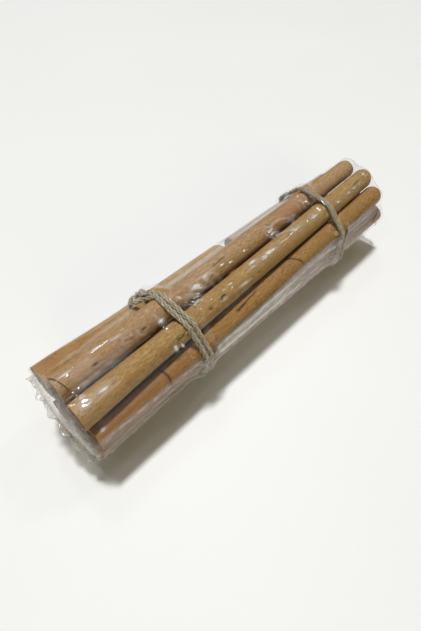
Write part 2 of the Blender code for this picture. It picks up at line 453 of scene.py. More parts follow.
def bark_material(name, colour, shift):
    """Rolled bark: fine mottled grain, ruddy and olive patches, pores, dark cracks and painted shade
    marks.
    """
    material, tree, shader = new_material(name)
    local = stored(tree, "bark", "Vector")
    pattern = {
        label: noise_at(tree, local, *kind, shift + apart)
        for label, (*kind, apart) in BARK_PATTERNS.items()
    }
    deep, pale = scaled_colour(colour, DEEP_SHARE), scaled_colour(colour, PALE_SHARE)
    tone = mixed_colour(tree, ranged(tree, pattern["grain"], *GRAIN_LEVELS), deep, pale)
    tone = mixed_colour(tree, ranged(tree, pattern["streak"], *STREAK_LEVELS), tone, deep)
    olive = scaled_colour(colour, OLIVE_SHARE)
    tone = mixed_colour(tree, ranged(tree, pattern["olive"], *OLIVE_LEVELS), tone, olive)
    patches = ranged(tree, pattern["ruddy"], *RUDDY_LEVELS)
    flush = calc(tree, "MAXIMUM", patches, stored(tree, "ruddy"))
    tone = mixed_colour(tree, flush, tone, scaled_colour(colour, RUDDY_SHARE))
    tone = mixed_colour(tree, ranged(tree, pattern["pore"], *PORE_LEVELS), tone, CRACK_AND_SHADE_COLOUR)
    tone = mixed_colour(tree, stored(tree, "crack_and_shade"), tone, CRACK_AND_SHADE_COLOUR)
    tree.links.new(tone, shader.inputs["Base Color"])

    streaks = times(tree, pattern["streak"], BARK_STREAK_RELIEF)
    relief = calc(tree, "MULTIPLY_ADD", pattern["grain"], BARK_GRAIN_RELIEF, streaks)
    tree.links.new(bumped(tree, relief, BARK_BUMP), shader.inputs["Normal"])
    rough = ranged(tree, pattern["grain"], *BARK_ROUGHNESS)
    tree.links.new(rough, shader.inputs["Roughness"])
    shader.inputs["Specular IOR Level"].default_value = 0.3
    return material


TWINE_PALE = (0.57, 0.495, 0.355, 1.0)
TWINE_DEEP = (0.16, 0.122, 0.068, 1.0)
# Patterns of the twine: stretch, fineness, detail, roughness
FIBRE_PATTERN = ((1.0, 1.0, 1.0), 1100.0, 3.0, 0.65)
FUZZ_PATTERN = ((1.0, 1.0, 1.0), 4200.0, 2.0, 0.6)
# How much the fibre, the pattern and the distance from the strand's middle each set the tone; that
# distance paints shade onto the fibres nearer the middle
FIBRE_TONE = 0.30
PATTERN_TONE = 0.35
CORE_SHADE_TONE = 0.35
TWINE_LEVELS = (0.20, 0.80)
TWINE_BUMP = 0.7


def twine_material():
    """Jute: pale fibres with darker ones between them, and painted shade that darkens the fibres nearer
    each strand's middle.
    """
    material, tree, shader = new_material("jute twine")
    place = add_node(tree, "ShaderNodeTexCoord").outputs["Object"]
    coarse = noise_at(tree, place, *FIBRE_PATTERN)
    fine = noise_at(tree, place, *FUZZ_PATTERN)
    share = times(tree, coarse, PATTERN_TONE)
    share = calc(tree, "MULTIPLY_ADD", stored(tree, "fibre"), FIBRE_TONE, share)
    # Painted shade: fibres nearer the strand's middle come out darker
    share = calc(tree, "MULTIPLY_ADD", stored(tree, "outer"), CORE_SHADE_TONE, share)
    tone = mixed_colour(tree, ranged(tree, share, *TWINE_LEVELS), TWINE_DEEP, TWINE_PALE)
    tree.links.new(tone, shader.inputs["Base Color"])
    tree.links.new(bumped(tree, fine, TWINE_BUMP), shader.inputs["Normal"])
    shader.inputs["Roughness"].default_value = 0.85
    shader.inputs["Sheen Weight"].default_value = 0.2
    return material


# Film: colours of its milk and of the painted reflections and highlights on it, of its folds and of
# what passes through it
MILK_AND_SHEEN_GREY = (0.63, 0.595, 0.525, 1.0)
MILK_AND_SHEEN_LILAC = (0.66, 0.585, 0.575, 1.0)
GLINT_AND_FOLD_WHITE = (0.94, 0.92, 0.89, 1.0)
CLEAR_TINT = (0.985, 0.98, 0.985, 1.0)
# Patterns of the film: stretch, fineness, detail, roughness and, of the drawn lines, a shift
CRINKLE_PATTERN = ((0.45, 1.0, 1.0), 1000.0, 4.0, 0.6)
DRAWN_PATTERN = ((0.05, 1.0, 1.0), 620.0, 3.0, 0.6, 0.4)
CRINKLE_RELIEF = 0.7
DRAWN_RELIEF = 0.4
FILM_BUMP = 0.2
CLOUDY_LEVELS = (0.36, 0.70, 0.6, 1.15)
LINE_LEVELS = (0.38, 0.70, 0.65, 1.35)
# Painted reflection, a milky white, and real gloss, that both grow where the film is seen at a slant
SLANT_SHEEN_BLEND = 0.28
SLANT_SHEEN_POWER = 3.0
MIRROR_SHARE = 0.03
SLANT_SHARE = 0.6
GLOSS_POWER = 5.0
MOST_MILK = 0.9
MOST_GLOSS = 0.9
# Of each kind of film: how much painted reflection, as milk, it shows at a slant, and how rough its
# gloss
FILM_FINISHES = {"clear film": (0.09, 0.05), "crumpled film": (0.6, 0.2)}


def slanted(tree, power, inputs):
    """Nought where a surface is seen square on, up to one where it is seen edge on."""
    facing = add_node(tree, "ShaderNodeLayerWeight", None, inputs).outputs["Facing"]
    return calc(tree, "POWER", facing, power)


def layered(tree, share, under, over):
    inputs = {0: share, 1: under, 2: over}
    return add_node(tree, "ShaderNodeMixShader", None, inputs).outputs[0]


def film_material(name):
    """Clear film: see-through, with gloss that grows at a slant, a painted reflection in milky white
    that grows there too, and milky crumpled places.
    """
    milk, gloss_roughness = FILM_FINISHES[name]
    material, tree, shader = new_material(name)
    place = add_node(tree, "ShaderNodeTexCoord").outputs["Object"]
    crinkle = noise_at(tree, place, *CRINKLE_PATTERN)
    drawn = noise_at(tree, place, *DRAWN_PATTERN)
    relief = calc(tree, "MULTIPLY_ADD", crinkle, CRINKLE_RELIEF, times(tree, drawn, DRAWN_RELIEF))
    bump = bumped(tree, relief, FILM_BUMP)

    tone = mixed_colour(tree, stored(tree, "lilac"), MILK_AND_SHEEN_GREY, MILK_AND_SHEEN_LILAC)
    # White folds and painted highlights: the fold value turns the film white
    tone = mixed_colour(tree, stored(tree, "fold"), tone, GLINT_AND_FOLD_WHITE)
    tree.links.new(tone, shader.inputs["Base Color"])
    shader.inputs["Roughness"].default_value = 0.5
    tree.links.new(bump, shader.inputs["Normal"])
    clear = add_node(tree, "ShaderNodeBsdfTransparent", None, {"Color": CLEAR_TINT}).outputs[0]
    uneven = times(
        tree, ranged(tree, crinkle, *CLOUDY_LEVELS), ranged(tree, drawn, *LINE_LEVELS),
    )
    # The milky veil's share: the film's own milk, and also painted reflections of room and floor and
    # painted highlights, all as diffuse white
    share = times(tree, stored(tree, "milk_and_sheen"), uneven)
    # Painted reflection: diffuse milky white that grows where the film is seen at a slant
    slant = times(tree, slanted(tree, SLANT_SHEEN_POWER, {"Blend": SLANT_SHEEN_BLEND}), milk)
    share = calc(tree, "MINIMUM", calc(tree, "ADD", share, slant), MOST_MILK)
    veil = layered(tree, share, clear, shader.outputs[0])
    gloss = add_node(tree, "ShaderNodeBsdfGlossy", None, {
        "Color": (1.0, 1.0, 1.0, 1.0), "Roughness": gloss_roughness, "Normal": bump,
    }).outputs[0]
    facing = slanted(tree, GLOSS_POWER, {"Blend": 0.5, "Normal": bump})
    shine = calc(tree, "MULTIPLY_ADD", facing, SLANT_SHARE, MIRROR_SHARE)
    shine = times(tree, calc(tree, "MINIMUM", shine, MOST_GLOSS), stored(tree, "glossy"))
    whole = layered(tree, shine, veil, gloss)
    tree.links.new(whole, tree.nodes["Material Output"].inputs["Surface"])
    return material


# Quills: how thick the bark is, and the gap between its rolls
WALL = 0.75 * MM
ROLL_GAP = 0.08 * MM
# The share of its width that a far end keeps, over what run it narrows, and the quill that doesn't
END_SHARE = 0.42
ROUNDING_RUN = 3.6 * MM
SQUARE_ENDED = "quill_front_low"
# Where the short quill ends, and where the slimmer one past it begins
SHORT_END = 4.2 * MM
BACK_FAR_START = 8.0 * MM
BACK_FAR_SLIMMER = 0.45 * MM
# From this part of each turn on, the bark sinks under the roll before it
SINK_FROM = 0.78
# Unevenness of the bark: broad waves and fine ridges along the grain
BROAD_UNEVEN = 0.38 * MM
BROAD_STRETCH = (0.25, 1.0, 1.0)
BROAD_SCALE = 160.0
BROAD_MIDDLE = 0.62
RIDGE_HEIGHT = 0.14 * MM
RIDGE_STRETCH = (0.06, 1.0, 1.0)
RIDGE_SCALE = 900.0
RIDGE_MIDDLE = 0.6


def quill_tree():
    """A strip of bark rolled into a scroll and laid along a straight line."""
    tree, given = new_shape_tree("rolled quill", (
        ("Near X", "Float"), ("Far X", "Float"), ("Near Centre", "Vector"), ("Far Centre", "Vector"),
        ("Radius", "Float"), ("Flare", "Float"), ("Wall", "Float"), ("Gap", "Float"),
        ("Rolls", "Float"), ("Seam Turn", "Float"), ("Unevenness", "Float"), ("End Share", "Float"),
        ("Seed", "Float"), ("Stations", "Int"), ("Outer Rays", "Int"), ("Inner Rays", "Int"),
        ("Material", "Material"),
    ))
    value = given.outputs

    # The scroll's outline: in along the outer face, and back out along the inner face
    count = calc(tree, "ADD", value["Outer Rays"], value["Inner Rays"])
    line = shape_step(tree, "CurvePrimitiveLine")
    outline = shape_step(tree, "ResampleCurve", {"Curve": line, "Count": count})
    index = tree.nodes.new("GeometryNodeInputIndex").outputs[0]
    outer_share = calc(tree, "DIVIDE", index, calc(tree, "SUBTRACT", value["Outer Rays"], 1.0))
    from_end = calc(tree, "SUBTRACT", calc(tree, "SUBTRACT", count, 1.0), index)
    inner_share = calc(tree, "DIVIDE", from_end, calc(tree, "SUBTRACT", value["Inner Rays"], 1.0))
    on_inner = calc(tree, "GREATER_THAN", index, calc(tree, "SUBTRACT", value["Outer Rays"], 0.5))
    share = ranged(tree, on_inner, 0.0, 1.0, outer_share, inner_share, False)
    rolled = times(tree, share, value["Rolls"])
    whole = calc(tree, "FLOOR", rolled)
    part = calc(tree, "FRACT", rolled)
    sunk = calc(tree, "ADD", whole, ranged(tree, part, SINK_FROM, 1.0))
    pitch = calc(tree, "ADD", value["Wall"], value["Gap"])
    radius = calc(tree, "SUBTRACT", value["Radius"], times(tree, sunk, pitch))
    radius = calc(tree, "SUBTRACT", radius, times(tree, on_inner, value["Wall"]))
    angle = calc(tree, "MULTIPLY_ADD", rolled, 2.0 * math.pi, value["Seam Turn"])
    across = add_node(tree, "ShaderNodeCombineXYZ", None, {
        0: times(tree, radius, calc(tree, "SINE", angle)),
        1: times(tree, times(tree, radius, calc(tree, "COSINE", angle)), -1.0),
    }).outputs[0]
    scroll = shape_step(tree, "SetPosition", {"Geometry": outline, "Position": across})
    scroll = shape_step(tree, "SetSplineCyclic", {"Geometry": scroll, "Cyclic": True})

    # Swept along the pack
    start = add_node(tree, "ShaderNodeCombineXYZ", None, {0: value["Near X"]}).outputs[0]
    end = add_node(tree, "ShaderNodeCombineXYZ", None, {0: value["Far X"]}).outputs[0]
    spine = shape_step(tree, "CurvePrimitiveLine", {"Start": start, "End": end})
    spine = shape_step(tree, "ResampleCurve", {"Curve": spine, "Count": value["Stations"]})
    spine = shape_step(tree, "SetCurveNormal", {"Curve": spine}, {"mode": "Z_UP"})
    swept = {"Curve": spine, "Profile Curve": scroll, "Fill Caps": True}
    swept = shape_step(tree, "CurveToMesh", swept)

    # Uneven bark, with the place on the quill kept for the material
    place = tree.nodes.new("GeometryNodeInputPosition").outputs[0]
    swept = with_values(tree, swept, "bark", place, "FLOAT_VECTOR")
    parts = add_node(tree, "ShaderNodeSeparateXYZ", None, {0: place}).outputs
    from_axis = add_node(tree, "ShaderNodeCombineXYZ", None, {1: parts[1], 2: parts[2]}).outputs[0]
    outward = vector_calc(tree, "NORMALIZE", from_axis)
    broad_place = vector_calc(tree, "MULTIPLY", place, BROAD_STRETCH)
    broad = seeded_noise(tree, broad_place, value["Seed"], BROAD_SCALE, 1.0)
    ridge_place = vector_calc(tree, "MULTIPLY", place, RIDGE_STRETCH)
    ridge = seeded_noise(tree, ridge_place, value["Seed"], RIDGE_SCALE, 2.0)
    shift = times(tree, calc(tree, "SUBTRACT", broad, BROAD_MIDDLE), value["Unevenness"])
    ridge = times(tree, calc(tree, "SUBTRACT", ridge, RIDGE_MIDDLE), RIDGE_HEIGHT)
    reach = vector_calc(tree, "LENGTH", from_axis)
    round_start = calc(tree, "SUBTRACT", value["Far X"], ROUNDING_RUN)
    into_end = ranged(tree, parts[0], round_start, value["Far X"], 0.0, 1.0, False)
    lost = calc(tree, "SUBTRACT", 1.0, times(tree, value["End Share"], value["End Share"]))
    lost = times(tree, times(tree, into_end, into_end), lost)
    kept_share = calc(tree, "SQRT", calc(tree, "SUBTRACT", 1.0, lost))
    rounded = times(tree, calc(tree, "SUBTRACT", kept_share, 1.0), reach)
    flared = ranged(tree, parts[0], STICK_START, STICK_START + FLARE_RUN, 1.0, 0.0)
    shift = calc(tree, "MULTIPLY_ADD", flared, value["Flare"], calc(tree, "ADD", shift, rounded))
    offset = scaled(tree, outward, calc(tree, "ADD", shift, ridge))
    length = STICK_END - STICK_START
    along = calc(tree, "DIVIDE", calc(tree, "SUBTRACT", parts[0], STICK_START), length)
    swing = vector_calc(tree, "SUBTRACT", value["Far Centre"], value["Near Centre"])
    carried = vector_calc(tree, "ADD", scaled(tree, swing, along), value["Near Centre"])
    offset = vector_calc(tree, "ADD", carried, offset)
    finish_tree(tree, given, shape_step(tree, "SetPosition", {"Geometry": swept, "Offset": offset}))
    return tree


def all_quills():
    """Every quill by name: the layout's, with two in the short one's place, and the inner ones."""
    quills = {**STICKS, **INNER_STICKS}
    quills["front_top"] = SHOWN_FRONT_TOP
    quills["top"] = STICKS["top"]._replace(far_x=SHOWN_TOP_END)
    quills["top_back"] = STICKS["top_back"]._replace(far_x=SHOWN_TOP_BACK_END)
    whole = STICKS[SHORT_STICK]
    quills[SHORT_STICK] = whole._replace(far_x=SHORT_END)
    slim = whole.radius - BACK_FAR_SLIMMER
    quills["back_far"] = whole._replace(near_x=BACK_FAR_START, radius=slim, flare=0.0)
    return quills


def quill_layer(tree, name, stick, material, seam_turn, layer):
    """One rolled layer of a quill."""
    (near_y, near_z), (far_y, far_z) = stick_ends(stick)
    values = {
        "Near X": layer["near_x"], "Far X": layer["far_x"],
        "Near Centre": (0.0, near_y, near_z + AXIS_HEIGHT),
        "Far Centre": (0.0, far_y, far_z + AXIS_HEIGHT),
        "Radius": layer["radius"], "Flare": stick.flare, "Wall": WALL, "Gap": ROLL_GAP,
        "Rolls": layer["rolls"], "Seam Turn": seam_turn, "Unevenness": BROAD_UNEVEN,
        "End Share": 1.0 if name.startswith(SQUARE_ENDED) else END_SHARE,
        "Seed": layer["seed"], "Stations": layer["stations"], "Outer Rays": layer["rays"][0],
        "Inner Rays": layer["rays"][1], "Material": material,
    }
    return grown(name, bpy.data.meshes.new(name), tree, values)


SHARP_ANGLE = math.radians(55.0)


def joined(name, items):
    """One object out of several, in the first one's place."""
    merged = bmesh.new()
    for item in items:
        merged.from_mesh(item.data)
    data = items[0].data.copy()
    merged.to_mesh(data)
    merged.free()
    for item in items:
        bpy.data.objects.remove(item, do_unlink=True)
    data.name = name
    data.shade_smooth()
    data.set_sharp_from_angle(angle=SHARP_ANGLE)
    whole = bpy.data.objects.new(name, data)
    bpy.context.scene.collection.objects.link(whole)
    return whole


# The quill that is peeled at its near end, and how much of its outer scroll is gone there
PEELED = {"top_back": 1.3 * MM}
# The inner roll: how far it lies under the quill's face and how far back it begins, on a peeled
# quill and on the others, and how much sooner it ends
PEELED_SUNK, INNER_SUNK = 1.0 * MM, 1.85 * MM
PEELED_SET_BACK, INNER_SET_BACK = -0.8 * MM, 0.3 * MM
INNER_SHORTER = 0.5 * MM
OUTER_INSET = 0.04 * MM
# Turns of bark in the outer scroll, in a peeled one and in the inner roll, and how far round
# from the outer seam the inner one lies, in radians
OUTER_ROLLS = 1.18
PEELED_ROLLS = 1.03
INNER_ROLLS = 1.9
INNER_SEAM = 1.4
# How far the peeled rim leans along the pack with each degree of turn, over what run along the
# quill that fades, and up to which turn it goes
PEEL_LEAN = 0.024 * MM
PEEL_RUN = 9.0 * MM
PEEL_WIDEST = 80.0
# Fineness: stations along the pack, and rays on a layer's outer and inner face. Outer scrolls
# are finer on the quills that show.
FINE_STATIONS, FINE_RAYS = 300, (124, 30)
PLAIN_STATIONS, PLAIN_RAYS = 110, (84, 28)
INNER_STATIONS, INNER_RAYS = 60, (80, 30)


def make_quill(tree, name, stick, material, seed, fine, peel=0.0):
    """An outer scroll and an inner roll; where the outer one is peeled back the inner shows."""
    outward = math.radians(0.5 * (stick.near_turn + stick.far_turn)) + SEAM_TILT
    peeled = peel > 0.0
    length_share = (stick.far_x - stick.near_x) / (STICK_END - STICK_START)
    outer = {
        "near_x": stick.near_x + peel,
        "far_x": stick.far_x,
        "radius": stick.radius - OUTER_INSET,
        "rolls": PEELED_ROLLS if peeled else OUTER_ROLLS,
        "seed": seed,
        "stations": int((FINE_STATIONS if fine else PLAIN_STATIONS) * length_share),
        "rays": FINE_RAYS if fine else PLAIN_RAYS,
    }
    inner = {
        "near_x": stick.near_x + (PEELED_SET_BACK if peeled else INNER_SET_BACK),
        "far_x": stick.far_x - INNER_SHORTER,
        "radius": stick.radius - (PEELED_SUNK if peeled else INNER_SUNK),
        "rolls": INNER_ROLLS,
        "seed": seed + 5.0,
        "stations": INNER_STATIONS,
        "rays": INNER_RAYS,
    }
    turned_in = outward + math.pi
    pieces = [
        quill_layer(tree, name + "_outer", stick, material, turned_in, outer),
        quill_layer(tree, name + "_inner", stick, material, turned_in + INNER_SEAM, inner),
    ]
    return joined(name, pieces)


# Marks on the quills. Each place is (place along the pack in mm, turn round the quill's own
# middle in degrees from the seam's square); widths and depths are in mm.
DarkLine = namedtuple("DarkLine", "quill width depth points")
CRACKS_AND_SHADE_LINES = [DarkLine(*row) for row in (
    ("front_top", 0.38, 0.30, (
        (-48.4, -62.0), (-47.9, -30.0), (-47.6, 2.0), (-47.9, 40.0), (-48.3, 80.0),
    )),
    ("front_top", 0.42, 0.45, ((-14.6, -13.0), (-12.4, -17.0), (-10.6, -20.0))),
    ("front_top", 0.24, 0.22, ((-10.6, -20.0), (-8.0, -24.0), (-4.6, -29.0))),
    ("front_top", 0.36, 0.25, (
        (15.2, -60.0), (16.6, -35.0), (17.4, -16.0), (18.7, 8.0), (19.0, 28.0),
    )),
    ("front_top", 0.32, 0.20, ((-70.0, -50.0), (-60.0, -56.0), (-50.0, -54.0))),
    ("top", 0.38, 0.25, ((-19.1, 14.0), (-18.8, 4.0), (-17.9, 0.0), (-17.2, 4.0))),
    ("top", 0.34, 0.20, ((-24.9, 10.0), (-23.9, 12.0))),
    ("top", 0.24, 0.22, ((-39.6, 20.0), (-37.0, 21.0))),
    ("top", 0.24, 0.22, ((-39.2, 29.0), (-37.3, 28.0))),
    ("top", 0.30, 0.20, ((-4.2, 26.0), (-3.6, 27.0))),
    ("top", 0.30, 0.20, ((-0.9, 28.0), (-0.4, 29.0))),
    ("top", 0.32, 0.15, ((62.0, -4.0), (66.0, -7.0))),
    ("top_back", 0.40, 0.35, ((-63.5, 16.0), (-62.6, 18.0))),
    ("top_back", 0.36, 0.25, ((-45.4, 21.0), (-44.6, 22.0))),
    ("top_back", 0.32, 0.15, ((-12.0, -12.0), (-6.0, -16.0))),
    # Painted shade: a wide dark mark on the lower front quill, in the gap below the upper front quill
    ("front_low", 0.95, 0.45, ((-50.5, 55.0), (-46.0, 64.0), (-42.5, 72.0))),
    # Painted shade: a wide dark seam along the top of the upper front quill, where the top quill's
    # shadow falls into the gap between them
    ("front_top", 0.85, 0.20, ((-75.0, -66.0), (-50.0, -64.0), (-20.0, -74.0))),
    ("front_low", 0.55, 0.50, ((70.0, 42.0), (73.0, 22.0), (76.0, 0.0))),
)]
Step = namedtuple("Step", "quill place lean drop edge")
STEPS = (Step("top_back", 17.6, 0.035, 0.34, 0.30),)
Flush = namedtuple("Flush", "quill place turn length width share")
FLUSHES = [Flush(*row) for row in (
    ("back_top", -72.0, -40.0, 5.0, 40.0, 0.95), ("back_top", -58.5, -25.0, 6.0, 25.0, 0.95),
    ("top_back", 31.0, 0.0, 13.0, 70.0, 0.75), ("top_back", -26.0, 10.0, 6.0, 60.0, 0.3),
    ("top_back", -68.0, 10.0, 8.0, 60.0, 0.55), ("top", 8.0, 30.0, 18.0, 30.0, 0.5),
    ("front_top", -60.0, 0.0, 28.0, 90.0, 0.6), ("top_back", -52.0, 10.0, 24.0, 80.0, 0.35),
)]
# Short cracks that every quill has: how many, how long, how much askew, how wide, how deep
EVERY_QUILL_CRACKS = 5
CRACK_PLACES = (-70.0, 70.0)
CRACK_LENGTHS = (1.5, 6.0)
CRACK_LEANS = (-6.0, 6.0)
CRACK_WIDTHS = (0.16, 0.24)
SHORT_CRACK_DEPTH = 0.09
# From this depth on a dark mark is as dark as it gets, cracks and painted shade alike
DARK_DEPTH = 0.24
DARKEST = 0.95
STEP_DARK = 0.8
# The marks go into the outer face: how far under it they still reach, and how soft that is
FACE_DEPTH = (0.75 * MM, 0.35 * MM)
PEEL_DEPTH = (0.95 * MM, 0.1 * MM)


def random_cracks(name, seed):
    """A few short cracks along the grain."""
    chance = random.Random(seed)
    cracks = []
    for _ in range(EVERY_QUILL_CRACKS):
        x, turn = chance.uniform(*CRACK_PLACES), chance.uniform(-180.0, 180.0)
        length, lean = chance.uniform(*CRACK_LENGTHS), chance.uniform(*CRACK_LEANS)
        ends = ((x, turn), (x + length, turn + lean))
        cracks.append(DarkLine(name, chance.uniform(*CRACK_WIDTHS), SHORT_CRACK_DEPTH, ends))
    return cracks


def distance_to(points, x, turn, radius):
    """Distance in mm from each place on the unrolled bark to a broken line."""
    least = np.full(len(x), np.inf)
    for (x0, turn0), (x1, turn1) in zip(points[:-1], points[1:]):
        across = np.radians((turn - turn0 + 180.0) % 360.0 - 180.0) * radius
        run, rise = x1 - x0, math.radians(turn1 - turn0) * radius
        share = np.clip(((x - x0) * run + across * rise) / (run * run + rise * rise), 0.0, 1.0)
        least = np.minimum(least, np.hypot(x - x0 - share * run, across - share * rise))
    return least


def mark_quill(item, name, stick, seed):
    """Cracks, knots, layer steps and ruddy places, pressed into the outer face, and two marks of
    painted shade in gaps between quills.
    """
    count = len(item.data.vertices)
    points = np.empty(count * 3, dtype=np.float32)
    item.data.vertices.foreach_get("co", points)
    points = points.reshape(-1, 3).astype(float)
    middle_y, middle_z = stick_centre(stick, points[:, 0])
    away_y, away_z = points[:, 1] - middle_y, points[:, 2] - AXIS_HEIGHT - middle_z
    radius = np.hypot(away_y, away_z)
    turn = np.degrees(np.arctan2(-away_y, away_z) - SEAM_TILT)
    x = points[:, 0] / MM
    flared = 1.0 - smooth_step((points[:, 0] - STICK_START) / FLARE_RUN)
    outer = stick.radius + stick.flare * flared
    on_face = smooth_step((radius - outer + FACE_DEPTH[0]) / FACE_DEPTH[1])
    crack_and_shade, pressed, ruddy = np.zeros(count), np.zeros(count), np.zeros(count)
    for mark in (*CRACKS_AND_SHADE_LINES, *random_cracks(name, seed)):
        if mark.quill == name:
            share = np.exp(-(distance_to(mark.points, x, turn, stick.radius / MM) / mark.width) ** 2)
            crack_and_shade = np.maximum(crack_and_shade, share * min(mark.depth / DARK_DEPTH, 1.0))
            pressed = np.maximum(pressed, share * mark.depth)
    for step in STEPS:
        if step.quill == name:
            past = x - step.place - step.lean * turn + 0.5 * np.sin(np.radians(turn) * 5.0)
            pressed = pressed + step.drop * smooth_step(past / step.edge)
            crack_and_shade = np.maximum(crack_and_shade, STEP_DARK * bell(past, 0.1, step.edge))
    for flush in FLUSHES:
        if flush.quill == name:
            near = bell(x, flush.place, flush.length) * bell(turn, flush.turn, flush.width)
            ruddy = np.maximum(ruddy, flush.share * near)
    if name in PEELED:
        outside = smooth_step((radius - outer + PEEL_DEPTH[0]) / PEEL_DEPTH[1])
        fade = 1.0 - smooth_step((points[:, 0] - stick.near_x) / PEEL_RUN)
        points[:, 0] += PEEL_LEAN * np.clip(turn, -PEEL_WIDEST, PEEL_WIDEST) * fade * outside
    inward = pressed * MM * on_face / np.maximum(radius, MM)
    points[:, 1] -= away_y * inward
    points[:, 2] -= away_z * inward
    item.data.vertices.foreach_set("co", points.astype(np.float32).ravel())
    item.data.update()
    store_number(item, "crack_and_shade", np.clip(crack_and_shade * on_face, 0.0, DARKEST))
    store_number(item, "ruddy", ruddy)


# Ties: shape of the twine, as shares of the strand's radius
PLY_REACH = 0.52
BUNDLE_REACH = 0.27
# How far round each ply's fibre bundles start from the last ply's
BUNDLE_SHIFT = 1.7
WOBBLE_SCALE = 700.0
FIBRE_SIDES = 5
# Spreads the fibres' tones evenly
GOLDEN_SHARE = 0.618


def circle_offset(tree, first, second, angle, reach):
    """Offset on a circle that two directions span."""
    one = scaled(tree, first, calc(tree, "COSINE", angle))
    two = scaled(tree, second, calc(tree, "SINE", angle))
    return scaled(tree, vector_calc(tree, "ADD", one, two), reach)


def twine_tree():
    """Twine along a path: plies wound round it, each of a few fibre bundles wound in turn."""
    tree, given = new_shape_tree("plied twine", (
        ("Strand Radius", "Float"), ("Plies", "Int"), ("Bundles", "Int"), ("Ply Pitch", "Float"),
        ("Bundle Pitch", "Float"), ("Fibre Share", "Float"), ("Looseness", "Float"),
        ("Step", "Float"), ("Middle", "Vector"), ("Seed", "Float"), ("Material", "Material"),
    ))
    value = given.outputs
    path = {"Curve": value["Geometry"], "Length": value["Step"]}
    path = shape_step(tree, "ResampleCurve", path, {"mode": "LENGTH"})
    strands = times(tree, value["Plies"], value["Bundles"])
    doubled = add_node(tree, "GeometryNodeDuplicateElements", {"domain": "SPLINE"}, {
        "Geometry": path, "Amount": strands,
    })
    number = doubled.outputs["Duplicate Index"]
    kept = add_node(tree, "GeometryNodeCaptureAttribute", {"domain": "CURVE"}, {
        "Geometry": doubled.outputs[0],
    })
    kept.capture_items.new("FLOAT", "Number")
    tree.links.new(number, kept.inputs["Number"])
    number = kept.outputs["Number"]
    ply = calc(tree, "FLOOR", calc(tree, "DIVIDE", calc(tree, "ADD", number, 0.5), value["Bundles"]))
    bundle = calc(tree, "SUBTRACT", number, times(tree, ply, value["Bundles"]))
    run = tree.nodes.new("GeometryNodeSplineParameter").outputs["Length"]
    place = tree.nodes.new("GeometryNodeInputPosition").outputs[0]
    away = vector_calc(tree, "SUBTRACT", place, value["Middle"])
    away = vector_calc(tree, "MULTIPLY", away, (0.0, 1.0, 1.0))
    away = vector_calc(tree, "NORMALIZE", away)
    tangent = tree.nodes.new("GeometryNodeInputTangent").outputs[0]
    side = vector_calc(tree, "NORMALIZE", vector_calc(tree, "CROSS_PRODUCT", tangent, away))

    ply_share = calc(tree, "DIVIDE", ply, value["Plies"])
    ply_angle = calc(tree, "ADD", calc(tree, "DIVIDE", run, value["Ply Pitch"]), ply_share)
    ply_angle = times(tree, ply_angle, 2.0 * math.pi)
    ply_reach = times(tree, value["Strand Radius"], PLY_REACH)
    offset = circle_offset(tree, away, side, ply_angle, ply_reach)
    bundle_share = calc(tree, "DIVIDE", bundle, value["Bundles"])
    bundle_angle = calc(tree, "DIVIDE", run, value["Bundle Pitch"])
    bundle_angle = calc(tree, "ADD", times(tree, bundle_angle, -1.0), bundle_share)
    ply_start = times(tree, ply, BUNDLE_SHIFT)
    bundle_angle = calc(tree, "MULTIPLY_ADD", bundle_angle, 2.0 * math.pi, ply_start)
    bundle_reach = times(tree, value["Strand Radius"], BUNDLE_REACH)
    bundle_offset = circle_offset(tree, away, side, bundle_angle, bundle_reach)
    offset = vector_calc(tree, "ADD", offset, bundle_offset)
    outer = calc(tree, "DIVIDE", vector_calc(tree, "LENGTH", offset), value["Strand Radius"])
    seed = calc(tree, "ADD", number, value["Seed"])
    wobble = seeded_noise(tree, place, seed, WOBBLE_SCALE, 1.0, "Color")
    wobble = vector_calc(tree, "SUBTRACT", wobble, (0.5, 0.5, 0.5))
    offset = vector_calc(tree, "ADD", offset, scaled(tree, wobble, value["Looseness"]))
    # How far each fibre lies from the strand's middle, for the material's painted shade
    fibres = with_values(tree, kept.outputs[0], "outer", outer)
    fibres = shape_step(tree, "SetPosition", {"Geometry": fibres, "Offset": offset})
    thickness = times(tree, value["Strand Radius"], value["Fibre Share"])
    ring = {"Resolution": FIBRE_SIDES, "Radius": thickness}
    ring = shape_step(tree, "CurvePrimitiveCircle", ring)
    swept = {"Curve": fibres, "Profile Curve": ring, "Fill Caps": True}
    swept = shape_step(tree, "CurveToMesh", swept)
    shade = times(tree, calc(tree, "ADD", number, 1.0), GOLDEN_SHARE)
    swept = with_values(tree, swept, "fibre", calc(tree, "FRACT", shade))
    finish_tree(tree, given, swept)
    return tree


TIE_STEPS = 220
TAIL_STEPS = 60
# Where the near tie's strands cross, and how far the strands of each tie lie from its middle
CROSSING = math.radians(-64.0)
CROSSING_WIDTH = math.radians(15.0)
NEAR_APART = 1.0 * MM
FAR_APART = 0.62 * MM
FAR_RISE = 0.3 * MM
CROSSING_LIFT = 0.6 * MM
# The loose end: place along the pack in mm, turn in degrees, height in mm
TAIL = (
    (-33.8, -92.0, 0.0), (-38.6, -84.0, 0.0), (-41.0, -73.0, 0.0), (-39.2, -64.0, 0.1),
    (-36.6, -54.0, 0.2), (-34.6, -46.0, 0.0),
)


def path_curve(name, points, closed):
    data = bpy.data.curves.new(name, "CURVE")
    data.dimensions = "3D"
    spline = data.splines.new("POLY")
    spline.points.add(len(points) - 1)
    for target, point in zip(spline.points, points):
        target.co = (*point, 1.0)
    spline.use_cyclic_u = closed
    return data


def point_over(x, turn, lift):
    """A point this far over the band drawn tight round the quills."""
    y, z = on_ray(hull_radius(x, np.array([turn]))[0] + lift, turn)
    return x, y, AXIS_HEIGHT + z


